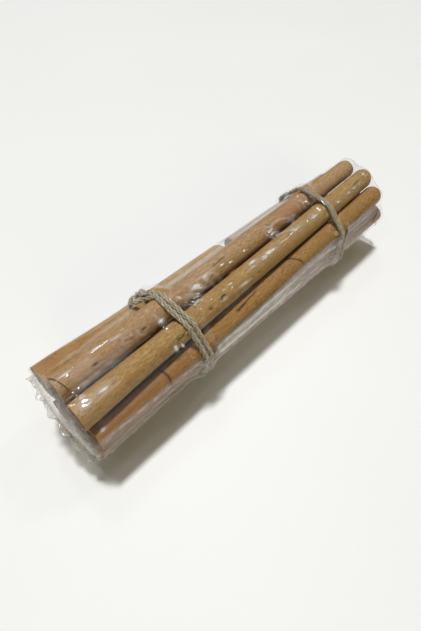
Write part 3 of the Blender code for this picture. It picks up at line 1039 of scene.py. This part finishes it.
def tie_points(tie, strand_radius, offsets, lifts):
    """Points of a strand that goes round the quills, drawn tight over them."""
    points = []
    for turn in np.linspace(0.0, 2.0 * math.pi, TIE_STEPS, endpoint=False):
        seam_turn = (turn - SEAM_TILT + math.pi) % (2.0 * math.pi) - math.pi
        x = tie.place + tie_askew(tie, turn) + offsets(seam_turn)
        points.append(point_over(x, turn, strand_radius + lifts(seam_turn)))
    return points


def tail_points():
    """Points of the loose end that leaves the near tie's crossing and comes back under it."""
    knots = np.array(TAIL)
    share = np.linspace(0.0, len(knots) - 1.0, TAIL_STEPS)
    knot = np.arange(len(knots))
    rows = [np.interp(share, knot, knots[:, column]) for column in range(3)]
    points = []
    for x, degrees, lift in zip(*rows):
        turn = math.radians(degrees) + SEAM_TILT
        points.append(point_over(x * MM, turn, SLIM_STRAND_RADIUS + lift * MM))
    return points


def make_ties(material):
    tree = twine_tree()
    plied = {
        "Strand Radius": STRAND_RADIUS, "Plies": 3, "Bundles": 4, "Ply Pitch": 7.4 * MM,
        "Bundle Pitch": 5.0 * MM, "Fibre Share": 0.24, "Looseness": 0.34 * MM, "Step": 0.42 * MM,
        "Middle": (0.0, 0.0, AXIS_HEIGHT), "Seed": 1.0, "Material": material,
    }
    slim = {**plied, "Strand Radius": SLIM_STRAND_RADIUS, "Ply Pitch": 6.4 * MM, "Seed": 2.0}
    fuzz = {
        **plied, "Plies": 2, "Bundles": 2, "Ply Pitch": 11.0 * MM, "Bundle Pitch": 7.0 * MM,
        "Fibre Share": 0.055, "Looseness": 2.1 * MM, "Step": 0.5 * MM, "Seed": 3.0,
    }

    def crossed(turn):
        return float(bell(turn, CROSSING, CROSSING_WIDTH))

    def first_near(turn):
        return NEAR_APART * (1.0 - 2.0 * crossed(turn))

    def strand(name, points, closed, values):
        return grown(name, path_curve(name, points, closed), tree, values)

    near = []
    for label, side, lift in (("first", 1.0, CROSSING_LIFT), ("second", -1.0, 0.0)):
        points = tie_points(
            NEAR_TIE, STRAND_RADIUS,
            lambda turn: side * first_near(turn), lambda turn: lift * crossed(turn),
        )
        near.append(strand("near_" + label, points, True, plied))
        near.append(strand("near_fuzz_" + label, points, True, fuzz))
    near.append(strand("near_tail", tail_points(), False, slim))
    far = []
    for label, shift, rise in (("first", FAR_APART, 0.0), ("second", -FAR_APART, FAR_RISE)):
        points = tie_points(FAR_TIE, SLIM_STRAND_RADIUS, lambda turn: shift, lambda turn: rise)
        far.append(strand("far_" + label, points, True, slim))
        far.append(strand("far_fuzz_" + label, points, True, fuzz))
    return joined("near_tie", near), joined("far_tie", far)


# Film
# How close together the rings are: everywhere, then what each tie and end adds, over what run
EVEN_WEIGHT = 0.8
TIE_WEIGHT, TIE_WEIGHT_RUN = 1.4, 6.0 * MM
NEAR_END_WEIGHT, FAR_END_WEIGHT, END_WEIGHT_RUN = 0.8, 0.5, 3.0 * MM


def film_stations():
    """Places of the film's rings, closer together at the ties and the ends."""
    places = np.linspace(NEAR_END, FAR_END, 20 * FILM_STATIONS)
    weight = np.full(len(places), EVEN_WEIGHT)
    for tie in TIES:
        weight += TIE_WEIGHT * bell(places, tie.place, TIE_WEIGHT_RUN)
    near = NEAR_END_WEIGHT * bell(places, NEAR_END, END_WEIGHT_RUN)
    weight += near + FAR_END_WEIGHT * bell(places, FAR_END, END_WEIGHT_RUN)
    run = np.cumsum(weight)
    run = (run - run[0]) / (run[-1] - run[0])
    return np.interp(np.linspace(0.0, 1.0, FILM_STATIONS), run, places)


def film_turns():
    return np.arange(FILM_RAYS) * 2.0 * math.pi / FILM_RAYS + SEAM_TILT - math.pi / 2.0


# Of each dome or hollow in the film: place along the pack in mm, turn in degrees from the
# seam's square, half length in mm, half width in degrees, height in mm
Swelling = namedtuple("Swelling", "place turn length width height")
SWELLINGS = [Swelling(*row) for row in (
    (-38.4, -62.0, 3.6, 14.0, 1.30), (21.1, -28.7, 4.6, 9.5, 0.40), (-66.2, 1.0, 2.0, 3.4, 0.09),
    (-8.4, 2.4, 2.4, 5.0, 0.22), (-13.4, 3.0, 1.6, 5.0, 0.16), (-73.1, 30.1, 1.6, 6.0, 0.16),
    (-29.0, -26.6, 2.0, 6.0, 0.22), (-23.9, -27.2, 2.0, 6.0, 0.20), (52.0, -8.0, 2.0, 5.0, 0.20),
    (57.5, -11.0, 2.0, 5.0, 0.20), (63.0, -14.0, 1.8, 5.0, 0.18), (69.0, -17.0, 1.8, 5.0, 0.18),
    (-24.0, 24.0, 2.4, 7.0, 0.20), (24.0, 22.0, 2.6, 7.0, 0.22),
)]

# Crumpled places of the film: as above, then how milky and how rough (height in mm). The milkiest ones
# on the top quill are painted highlights, white patches where the film would glint.
Crumple = namedtuple("Crumple", "place turn length width milk height grain")
CRUMPLES = [Crumple(*row) for row in (
    (-26.3, -15.6, 2.6, 6.0, 0.90, 0.25, 1.3), (-21.0, -29.0, 7.0, 9.0, 0.40, 0.05, 3.0),
    (1.0, -10.5, 3.0, 3.0, 0.50, 0.12, 2.4), (8.0, -9.5, 6.0, 4.5, 0.70, 0.16, 2.6),
    (22.0, -12.5, 5.0, 4.5, 0.50, 0.16, 2.4), (34.5, -12.5, 3.5, 5.0, 0.60, 0.20, 2.0),
    (15.6, -30.0, 2.0, 10.0, 0.95, 0.20, 1.2), (27.0, -31.0, 3.5, 7.0, 0.34, 0.14, 1.8),
    (-51.0, -26.0, 7.0, 8.0, 0.28, 0.04, 1.6), (38.0, -38.0, 4.0, 12.0, 0.22, 0.12, 2.2),
    (62.0, -13.0, 11.0, 5.0, 0.14, 0.32, 2.0), (-30.0, 8.0, 4.0, 12.0, 0.08, 0.10, 2.2),
    (-18.0, 3.0, 9.0, 7.0, 0.08, 0.30, 2.2), (-73.0, 10.0, 3.0, 40.0, 0.08, 0.16, 2.2),
    (71.0, 0.0, 5.0, 60.0, 0.06, 0.16, 2.4),
)]
# Painted highlights: white spots and streaks where glints stand on the film, a few paler patches of
# painted light, one of them over a shaded tie top, and some whitish folds: as above, with how milky.
# The gain makes their middles wholly white.
FilmMark = namedtuple("FilmMark", "place turn length width milk")
GLINTS_AND_FOLDS = [FilmMark(*row) for row in (
    (-72.5, 0.5, 3.2, 7.0, 0.36), (-66.0, 0.3, 3.6, 6.0, 0.32), (-72.2, -6.3, 0.8, 1.9, 0.95),
    (-71.6, 2.2, 1.4, 1.2, 0.85), (-66.2, 0.9, 1.6, 2.2, 0.95), (-38.6, -20.4, 1.0, 3.0, 0.98),
    (-38.6, -20.4, 1.8, 6.0, 0.25), (60.0, -11.0, 16.0, 9.0, 0.10), (28.0, -13.0, 16.0, 7.0, 0.12),
    (-12.0, -52.0, 14.0, 8.0, 0.24), (-72.4, -33.6, 2.6, 1.3, 0.75), (-60.3, -36.8, 2.0, 1.3, 0.85),
    (-54.0, -34.4, 2.2, 1.3, 0.70), (-66.0, -33.2, 3.0, 1.2, 0.30), (-18.1, -35.4, 4.0, 1.3, 0.75),
    (-22.6, -29.4, 1.7, 2.6, 0.90), (-29.0, -28.3, 0.9, 2.2, 0.80), (-18.5, 2.6, 1.6, 1.4, 0.75),
    (-8.6, 2.4, 3.0, 1.5, 0.90), (-0.6, -12.6, 2.2, 1.6, 0.90), (-2.4, -7.0, 1.8, 1.2, 0.55),
    (4.6, -8.0, 1.3, 2.4, 0.95), (8.0, -9.6, 2.0, 2.0, 0.95), (14.6, -10.6, 0.6, 1.8, 0.90),
    (23.9, -12.4, 1.7, 1.2, 0.75), (34.6, -11.2, 2.2, 1.3, 0.90), (49.5, -8.0, 1.1, 1.2, 0.75),
    (56.5, -9.6, 1.0, 1.2, 0.70), (60.5, -10.2, 1.1, 1.2, 0.75), (64.6, -10.9, 1.0, 1.2, 0.75),
    (71.5, -18.0, 0.9, 2.4, 0.75), (-41.1, 13.0, 0.75, 3.6, 0.95), (-38.6, 15.0, 0.45, 2.8, 0.90),
    (-72.8, 34.0, 1.1, 2.2, 0.85), (-19.0, 62.0, 13.0, 18.0, 0.42), (3.0, 58.0, 10.0, 16.0, 0.32),
    (-21.0, -54.0, 7.0, 6.0, 0.30), (42.5, -78.0, 5.0, 7.0, 0.30),
)]
GLINT_AND_FOLD_GAIN = 2.2
# A clear place in the milky band: as above, with how much of the milk is missing
CLEAR_WINDOW = FilmMark(-45.5, 74.5, 4.5, 5.0, 0.92)
# Band in front and below, partly the film's milk and partly a painted reflection of the pale floor:
# places along the pack in mm, the turn where it begins, how milky
LOW_BAND = (
    (-76.0, -36.0, -27.0, -12.0, 9.0, 20.0, 45.0, 52.0, 64.0, 68.0, 77.0),
    (38.5, 39.0, 39.5, 38.0, 32.0, 28.8, 26.5, 26.0, 24.0, 30.0, 30.0),
    (0.48, 0.46, 0.88, 0.90, 0.88, 0.68, 0.49, 0.38, 0.34, 0.12, 0.05),
)
LOW_SOFTNESS = 7.0
# Over a tie, the share of that band's milk and painted reflection that is missing, and how wide that
# place is
TIE_SHOWS = 0.5
TIE_SHOWS_WIDTH = 1.1
# Milky band at the upper back, between the short quill and the far tie. Of each edge: where it
# is and how soft, along the pack in mm and round it in degrees.
HIGH_HAZE = 0.42
HIGH_NEAR_EDGE = (3.0, 5.0)
HIGH_FAR_EDGE = (43.0, 14.0)
HIGH_FRONT_EDGE = (-50.0, 8.0)
HIGH_BACK_EDGE = (-108.0, 14.0)
# Milky streaks where the film is drawn at the upper back: turn and width, then places and lengths
STREAK_TURN = (-48.0, 3.0)
STREAK_PLACES = ((-66.0, 9.0), (-15.0, 10.0))
STREAK_HAZE = 0.08
# Painted lilac reflection on the flat film over the near end of the peeled quill: turn and width, then
# edges as above
FLANK_TURN = (-17.0, 8.0)
FLANK_NEAR_EDGE = (-76.0, 6.0)
FLANK_FAR_EDGE = (-48.0, 12.0)
FLANK_REFLECTION = 0.22
# A milky line round the dome on the upper back quill: place and turn of its middle, half length
# and half width, then how thick the line is, as a share of those, and how milky
RING = (21.1, -28.7, 5.4, 10.5)
RING_WIDTH = 0.14
RING_MILK = 0.42
# Milkiness everywhere, and what the two ends add over what run
CLEAR_HAZE = 0.008
END_HAZE = 0.10
END_HAZE_RUN = 1.2 * MM
# Ripples of milk in the crumpled places: middle, strength, most, and fineness against the relief
RIPPLE_MIDDLE, RIPPLE_GAIN, MOST_RIPPLE = 0.5, 1.6, 1.6
RIPPLE_GRAIN = 0.7
# How lilac the milk and the painted reflections are: everywhere, then what the flank and the two bands
# add
EVEN_LILAC, FLANK_LILAC, HIGH_LILAC, LOW_LILAC = 0.2, 0.6, 0.4, 0.6
CAP_LILAC = 0.1
# How much of its gloss the film keeps over a tie and at the near end, and over what run in mm
TIE_GLOSS = 0.12
TIE_GLOSS_WIDTH = 0.8
END_GLOSS = 0.15
END_GLOSS_EDGE = (-75.0, 4.0)
# Relief of the film. Of each kind: height, then what sets its waves.
BROAD_WAVE, BROAD_WAVES, BROAD_RUN, BROAD_CHANGE = 0.05 * MM, 3.0, 90.0, 140.0
SOFT_WAVE, SOFT_GRAIN, SOFT_SEED = 0.03 * MM, 5.0, 1.0
DRAWN_WAVE, DRAWN_WAVES, DRAWN_RUNS, SECOND_DRAWN = 0.025 * MM, (46.0, 71.0), (30.0, 22.0), 0.6
TIE_FOLD, TIE_FOLDS, TIE_FOLD_PLACE, TIE_FOLD_RUN = 0.09 * MM, (23.0, 41.0), 2.5 * MM, 3.0 * MM
SECOND_FOLD, FOLD_SHIFT, FOLD_CHANGE = 0.7, 5.0, 3.0
END_FOLD, END_FOLDS, END_FOLD_RUN = 0.06 * MM, (19.0, 5.0), 4.0 * MM
CRUMPLE_MIDDLE = 0.4
RELIEF_SEED, MILK_SEED = 3.0, 9.0
# How far round the film one degree runs, in mm, and the least share of a mark that is worked out
DEGREE_RUN = 0.29
NO_SHARE = 0.002


def past(value, edge):
    """Nought up to this edge, and one beyond its softness."""
    start, softness = edge
    return smooth_step((value - start) / softness)


def short_of(value, edge):
    """Nought from this edge on, and one where its softness ends before it."""
    start, softness = edge
    return smooth_step((start - value) / softness)


def seam_degrees(turns):
    """Turns from the seam's square in degrees, from -180 to 180."""
    return (np.degrees(turns - SEAM_TILT) + 180.0) % 360.0 - 180.0


def crumpled(x, degrees, grain, seed):
    """Soft noise on the film, about nought, with ripples this many mm long."""
    around = degrees * DEGREE_RUN
    return 2.0 * np.array([
        noise.noise(Vector((x / MM / grain, a / grain, seed))) for a in around
    ])


def film_relief(x, turns):
    """Small waves, domes and crumples of the film, and folds at the ties and the ends."""
    seam_turn = turns - SEAM_TILT
    degrees = seam_degrees(turns)
    place = x / MM
    waves = np.sin(BROAD_WAVES * seam_turn + BROAD_RUN * x)
    relief = BROAD_WAVE * waves * np.sin(BROAD_CHANGE * x + seam_turn)
    relief = relief + SOFT_WAVE * crumpled(x, degrees, SOFT_GRAIN, SOFT_SEED)
    drawn = np.sin(seam_turn * DRAWN_WAVES[0] + DRAWN_RUNS[0] * x)
    drawn = drawn + SECOND_DRAWN * np.sin(seam_turn * DRAWN_WAVES[1] - DRAWN_RUNS[1] * x)
    relief = relief + DRAWN_WAVE * drawn * looseness(turns) / FILM_LOOSE
    change = np.sin(FOLD_CHANGE * seam_turn)
    folds = np.sin(TIE_FOLDS[0] * seam_turn + FOLD_SHIFT)
    folds = folds + SECOND_FOLD * np.sin(TIE_FOLDS[1] * seam_turn) * change
    for tie in TIES:
        away = abs(x - tie.place) - tie.half_width
        if away > 0.0:
            relief = relief + TIE_FOLD * bell(away, TIE_FOLD_PLACE, TIE_FOLD_RUN) * folds
    folds = np.sin(END_FOLDS[0] * seam_turn + 1.0) * np.sin(END_FOLDS[1] * seam_turn)
    for end in (NEAR_END, FAR_END):
        gather = math.exp(-abs(x - end) / END_FOLD_RUN)
        relief = relief + END_FOLD * gather * folds
    for dome in SWELLINGS:
        along = bell(place, dome.place, dome.length)
        if along > NO_SHARE:
            relief = relief + dome.height * MM * along * bell(degrees, dome.turn, dome.width)
    for number, crumple in enumerate(CRUMPLES):
        share = bell(place, crumple.place, crumple.length)
        if share > NO_SHARE:
            share = share * bell(degrees, crumple.turn, crumple.width)
            ripples = crumpled(x, degrees, crumple.grain, RELIEF_SEED + number)
            relief = relief + crumple.height * MM * share * (CRUMPLE_MIDDLE + ripples)
    return np.maximum(relief, -FILM_GAP * 0.5)


def even_look(milk_and_sheen):
    """The film's look where its milk has one tinge and there are no folds."""
    count = len(milk_and_sheen)
    lilac = np.full(count, CAP_LILAC)
    return {"milk_and_sheen": milk_and_sheen, "lilac": lilac, "fold": np.zeros(count), "glossy": np.ones(count)}


def milky_marks(x, degrees):
    """On each ray: the milk of the crumpled places and the ring, and that of the folds and painted
    highlights.
    """
    place = x / MM
    milk_and_sheen, fold = np.zeros(len(degrees)), np.zeros(len(degrees))
    # Milk of the crumpled places; on the top quill it is partly painted highlights
    for number, crumple in enumerate(CRUMPLES):
        share = bell(place, crumple.place, crumple.length)
        if share > NO_SHARE:
            share = share * bell(degrees, crumple.turn, crumple.width)
            ripples = crumpled(x, degrees, RIPPLE_GRAIN * crumple.grain, MILK_SEED + number)
            ripples = np.clip(RIPPLE_MIDDLE + RIPPLE_GAIN * ripples, 0.0, MOST_RIPPLE)
            milk_and_sheen = np.maximum(milk_and_sheen, crumple.milk * share * ripples)
    ring_place, ring_turn, ring_length, ring_width = RING
    across = (degrees - ring_turn) / ring_width
    from_middle = np.hypot((place - ring_place) / ring_length, across)
    milk_and_sheen = np.maximum(milk_and_sheen, RING_MILK * bell(from_middle, 1.0, RING_WIDTH))
    # Painted highlights and white folds
    for white_mark in GLINTS_AND_FOLDS:
        share = bell(place, white_mark.place, white_mark.length)
        if share > NO_SHARE:
            milk = white_mark.milk * share * bell(degrees, white_mark.turn, white_mark.width)
            fold = np.maximum(fold, milk)
    return milk_and_sheen, fold


def film_look(x, turns):
    """On each ray: how milky the film is, painted reflections and highlights included, how lilac that
    milk, how white its folds and painted highlights, how glossy.
    """
    place = x / MM
    degrees = seam_degrees(turns)
    milk_and_sheen = np.full(len(turns), CLEAR_HAZE)
    for end in (NEAR_END, FAR_END):
        milk_and_sheen = milk_and_sheen + END_HAZE * math.exp(-abs(x - end) / END_HAZE_RUN)
    # Painted reflection of the pale floor on the film in front and below, with the film's milk
    low_start, low_milk_and_reflection = (np.interp(place, LOW_BAND[0], row) for row in LOW_BAND[1:])
    low = past(degrees, (low_start, LOW_SOFTNESS))
    high = short_of(degrees, HIGH_FRONT_EDGE) * past(place, HIGH_NEAR_EDGE)
    high = high * short_of(place, HIGH_FAR_EDGE) * past(degrees, HIGH_BACK_EDGE)
    streak = max(bell(place, middle, length) for middle, length in STREAK_PLACES)
    streak = bell(degrees, *STREAK_TURN) * streak
    # Painted lilac reflection on the flank
    flank = bell(degrees, *FLANK_TURN) * past(place, FLANK_NEAR_EDGE)
    flank = flank * short_of(place, FLANK_FAR_EDGE)
    glossy = END_GLOSS + (1.0 - END_GLOSS) * past(place, END_GLOSS_EDGE)
    for tie in TIES:
        low = low * (1.0 - TIE_SHOWS * bell(x, tie.place, TIE_SHOWS_WIDTH * tie.half_width))
        from_tie = abs(x - tie.place) - TIE_GLOSS_WIDTH * tie.half_width
        glossy = min(glossy, TIE_GLOSS + smooth_step(from_tie / MM))
    marks, fold = milky_marks(x, degrees)
    layers = (low_milk_and_reflection * low, HIGH_HAZE * high, STREAK_HAZE * streak, FLANK_REFLECTION * flank)
    for layer in (*layers, marks, fold):
        milk_and_sheen = np.maximum(milk_and_sheen, layer)
    window = bell(degrees, CLEAR_WINDOW.turn, CLEAR_WINDOW.width)
    window = window * bell(place, CLEAR_WINDOW.place, CLEAR_WINDOW.length)
    milk_and_sheen = milk_and_sheen * (1.0 - CLEAR_WINDOW.milk * window)
    lilac = EVEN_LILAC + FLANK_LILAC * flank + HIGH_LILAC * high + LOW_LILAC * low
    return {
        "milk_and_sheen": milk_and_sheen,
        "lilac": np.clip(lilac, 0.0, 1.0),
        "fold": np.minimum(GLINT_AND_FOLD_GAIN * fold, 1.0),
        "glossy": np.full(len(turns), glossy),
    }


# Ends of the film: of the near and the far one, how milky at the rim, and how much more at the seam
CAP_HAZES = {-1.0: (0.08, 0.52), 1.0: (0.03, 0.0)}
CAP_CRUMPLE = 0.45 * MM
CAP_CRUMPLE_MILK = 0.25
CAP_CRUMPLE_FINENESS = 260.0
# How fast the rings close towards the seam
CAP_CLOSING = 1.7


def end_cap(ring, side):
    """Film over one end: from the rim down to the seam, crumpled on the way."""
    rings, looks = [], []
    along, square = seam_frame(ring[:, 1], ring[:, 2] - AXIS_HEIGHT)
    meet = seam_x(along, side)
    for k in range(1, END_FINENESS + 1):
        step = 1.0 - (1.0 - k / END_FINENESS) ** CAP_CLOSING
        height = square * (1.0 - step) ** END_ROUND
        narrow = along * (1.0 - SEAM_NARROWING * step)
        if step >= 1.0:
            height = height * 0.0
        crumple = np.array([
            noise.noise(Vector((a * CAP_CRUMPLE_FINENESS, h * CAP_CRUMPLE_FINENESS, side * 3.0)))
            for a, h in zip(narrow, height)
        ])
        x = ring[:, 0] + (meet - ring[:, 0]) * step
        x = x + side * CAP_CRUMPLE * crumple * math.sin(math.pi * step)
        y, z = from_seam_frame(narrow, height)
        rings.append(np.stack([x, y, z + AXIS_HEIGHT], axis=1))
        base, gain = CAP_HAZES[side]
        milk_and_sheen = base + gain * step + CAP_CRUMPLE_MILK * crumple
        looks.append(even_look(np.clip(milk_and_sheen, 0.0, MOST_MILK)))
    return rings, looks


FILM_FLOOR = 0.02 * MM
MERGE_REACH = 0.004 * MM


def make_film(material):
    """The film round the pack: rings from the near seam to the far one."""
    turns = film_turns()
    rings, looks = [], []
    for x in film_stations():
        tight = hull_radius(x, turns)
        loose = looseness(turns)
        rise = loose + (TIE_HEIGHT - loose) * tent(x) / TIE_HEIGHT
        radius = tight - FILM_SAG * hollow_depth(x, turns, tight) + FILM_GAP + rise
        y, z = on_ray(radius + film_relief(x, turns), turns)
        z = np.maximum(z + AXIS_HEIGHT, FILM_FLOOR)
        rings.append(np.stack([ring_x(x, turns), y, z], axis=1))
        looks.append(film_look(x, turns))
    near_rings, near_looks = end_cap(rings[0], -1.0)
    far_rings, far_looks = end_cap(rings[-1], 1.0)
    rings = near_rings[::-1] + rings + far_rings
    looks = near_looks[::-1] + looks + far_looks
    points = np.concatenate(rings)
    faces = []
    for k in range(len(rings) - 1):
        first, second = k * FILM_RAYS, (k + 1) * FILM_RAYS
        for j in range(FILM_RAYS):
            after = (j + 1) % FILM_RAYS
            faces.append((first + j, first + after, second + after, second + j))
    item = mesh_object("clear_film", points, faces, material)
    for name in looks[0]:
        store_number(item, name, np.concatenate([look[name] for look in looks]))
    closer = bmesh.new()
    closer.from_mesh(item.data)
    bmesh.ops.remove_doubles(closer, verts=closer.verts, dist=MERGE_REACH)
    closer.to_mesh(item.data)
    closer.free()
    return item


FIN_COLUMNS, FIN_ROWS = 220, 8
FIN_HAZE = 0.50
FIN_CRUMPLE = 0.5 * MM
FIN_CRUMPLE_ALONG = 0.25 * MM
FIN_CRUMPLE_FINENESS = 900.0
FIN_THICKNESS = 0.06 * MM


def make_fin(side, material):
    """The crumpled fin along an end seam."""
    along = np.linspace(-SEAM_HALF_WIDTH, SEAM_HALF_WIDTH, FIN_COLUMNS) * (1.0 - SEAM_NARROWING)
    place = along / SEAM_HALF_WIDTH
    teeth = np.sin(FIN_TEETH[0] * place + side) + 0.6 * np.sin(FIN_TEETH[1] * place - side)
    folds = np.sin(FIN_FOLDS[0] * place + side) + 0.5 * np.sin(FIN_FOLDS[1] * place)
    reach = FIN_REACH + FIN_RAGGED * teeth
    points = []
    for row in range(FIN_ROWS):
        step = row / (FIN_ROWS - 1)
        for a, r, fold in zip(along, reach, folds):
            crumple = noise.noise(Vector((a * FIN_CRUMPLE_FINENESS, step * 2.0, side)))
            square = (FIN_WAVE * fold * seam_spread(a) + FIN_CRUMPLE * crumple) * step
            y, z = from_seam_frame(a + FIN_CRUMPLE_ALONG * crumple * step, square)
            points.append((seam_x(a, side) + side * r * step, y, z + AXIS_HEIGHT))
    faces = []
    for row in range(FIN_ROWS - 1):
        for column in range(FIN_COLUMNS - 1):
            corner = row * FIN_COLUMNS + column
            above = corner + FIN_COLUMNS
            faces.append((corner, corner + 1, above + 1, above))
    item = mesh_object("near_fin" if side < 0.0 else "far_fin", points, faces, material)
    for name, values in even_look(np.full(len(points), FIN_HAZE)).items():
        store_number(item, name, values)
    solid = item.modifiers.new("film thickness", "SOLIDIFY")
    solid.thickness = FIN_THICKNESS
    solid.offset = 0.0
    return item


# Studio
CAMERA_PLACE = (-88.19 * MM, -72.44 * MM, 139.73 * MM)
CAMERA_FORWARD = (0.4473, 0.4465, -0.7750)
CAMERA_UP = (0.5485, 0.5474, 0.6320)
FRAME_HEIGHT_PX = 631.0
FOCAL_PX = 440.0
SENSOR = 36.0


def make_camera():
    data = bpy.data.cameras.new("camera")
    data.sensor_width = SENSOR
    data.lens = SENSOR * FOCAL_PX / FRAME_HEIGHT_PX
    data.clip_start = 1.0 * MM
    camera = bpy.data.objects.new("camera", data)
    back = -Vector(CAMERA_FORWARD).normalized()
    right = Vector(CAMERA_UP).cross(back).normalized()
    up = back.cross(right)
    turn = Matrix((right, up, back)).transposed().to_4x4()
    camera.matrix_world = Matrix.Translation(CAMERA_PLACE) @ turn
    bpy.context.scene.collection.objects.link(camera)
    bpy.context.scene.camera = camera


FLOOR_HALF = 0.9
FLOOR_TONES = ((0.86, 0.85, 0.82, 1.0), (0.90, 0.89, 0.86, 1.0))
FLOOR_CLOUDS = 9.0


def make_floor():
    material, tree, shader = new_material("pale floor")
    place = add_node(tree, "ShaderNodeTexCoord").outputs["Object"]
    cloud = noise_at(tree, place, (1.0, 1.0, 1.0), FLOOR_CLOUDS, 2.0)
    tone = mixed_colour(tree, cloud, *FLOOR_TONES)
    tree.links.new(tone, shader.inputs["Base Color"])
    shader.inputs["Roughness"].default_value = 0.6
    half = FLOOR_HALF
    corners = [(-half, -half, 0.0), (half, -half, 0.0), (half, half, 0.0), (-half, half, 0.0)]
    floor = mesh_object("floor", corners, [(0, 1, 2, 3)], material, False)


LAMP_DISTANCE = 2.6
# Of each lamp: direction, sizes across and towards the pack in metres, power in watts
LAMPS = {
    "key": ((0.04, 0.17, 0.98), (0.26, 0.26), 53.5),
    "second": ((-0.12, 0.16, 0.98), (0.34, 0.34), 2.5),
    "sheen": ((0.165, 0.03, 0.986), (0.34, 0.24), 0.5),
    "streak": ((0.215, 0.45, 0.866), (0.10, 0.44), 3.6),
    "middle": ((0.49, 0.12, 0.865), (0.10, 0.10), 0.8),
    "side": ((0.60, -0.05, 0.79), (0.18, 0.24), 3.4),
    "spot": ((-0.584, 0.111, 0.804), (0.15, 0.15), 2.1),
    "front": ((0.165, -0.50, 0.85), (0.52, 0.52), 2.0),
    "fill": ((-0.45, -0.80, 0.40), (0.9, 0.9), 9.5),
}
LAMP_COLOUR = (0.94, 0.96, 1.0)
FILL_COLOUR = (1.0, 0.92, 0.52)
ROOM_COLOUR = (1.0, 0.94, 0.55, 1.0)
ROOM_STRENGTH = 0.045


def make_lamp(name, direction, sizes, power, colour):
    """A flat lamp that faces the pack from this direction."""
    data = bpy.data.lights.new(name, "AREA")
    data.shape = "RECTANGLE"
    data.size, data.size_y = sizes
    data.energy = power
    data.color = colour
    lamp = bpy.data.objects.new(name, data)
    away = Vector(direction).normalized()
    lamp.location = away * LAMP_DISTANCE
    lamp.rotation_euler = away.to_track_quat("Z", "Y").to_euler()
    bpy.context.scene.collection.objects.link(lamp)


def make_light():
    for name, (direction, sizes, power) in LAMPS.items():
        make_lamp(name, direction, sizes, power, FILL_COLOUR if name == "fill" else LAMP_COLOUR)
    world = bpy.data.worlds.new("studio")
    world.use_nodes = True
    back = world.node_tree.nodes["Background"]
    back.inputs[0].default_value = ROOM_COLOUR
    back.inputs[1].default_value = ROOM_STRENGTH
    bpy.context.scene.world = world
    bpy.context.scene.view_settings.view_transform = "Standard"


# Building. Of each quill: its colour, and a number that sets its own grain apart.
BARKS = {
    "back_top": ((0.43, 0.258, 0.090, 1.0), 0.0),
    "back_far": ((0.39, 0.225, 0.080, 1.0), 13.1),
    "top_back": ((0.45, 0.285, 0.135, 1.0), 1.3),
    "top": ((0.42, 0.255, 0.088, 1.0), 2.9),
    "front_top": ((0.36, 0.195, 0.058, 1.0), 4.1),
    "front_low": ((0.37, 0.190, 0.065, 1.0), 5.3),
    "bottom_front": ((0.40, 0.220, 0.080, 1.0), 6.7),
    "bottom_back": ((0.41, 0.230, 0.083, 1.0), 7.9),
    "back_low": ((0.41, 0.235, 0.086, 1.0), 9.1),
    "inner_upper": ((0.30, 0.155, 0.055, 1.0), 10.3),
    "inner_lower": ((0.30, 0.155, 0.055, 1.0), 11.7),
}
FINE = ("back_top", "back_far", "top_back", "top", "front_top", "front_low")


def build():
    make_camera()
    make_floor()
    make_light()
    film = make_film(film_material("clear film"))
    fin_film = film_material("crumpled film")
    pieces = [(film, "film")]
    pieces += [(make_fin(side, fin_film), "film") for side in (-1.0, 1.0)]
    scroll = quill_tree()
    for name, stick in all_quills().items():
        colour, shift = BARKS[name]
        bark = bark_material("bark " + name.replace("_", " "), colour, shift)
        peel = PEELED.get(name, 0.0)
        quill = make_quill(scroll, "quill_" + name, stick, bark, shift, name in FINE, peel)
        mark_quill(quill, name, stick, shift)
        pieces.append((quill, "bark"))
    pieces += [(tie, "twine") for tie in make_ties(twine_material())]
    for piece, slot in pieces:
        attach(piece, "root")
        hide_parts("wrapped_bundle")


build()
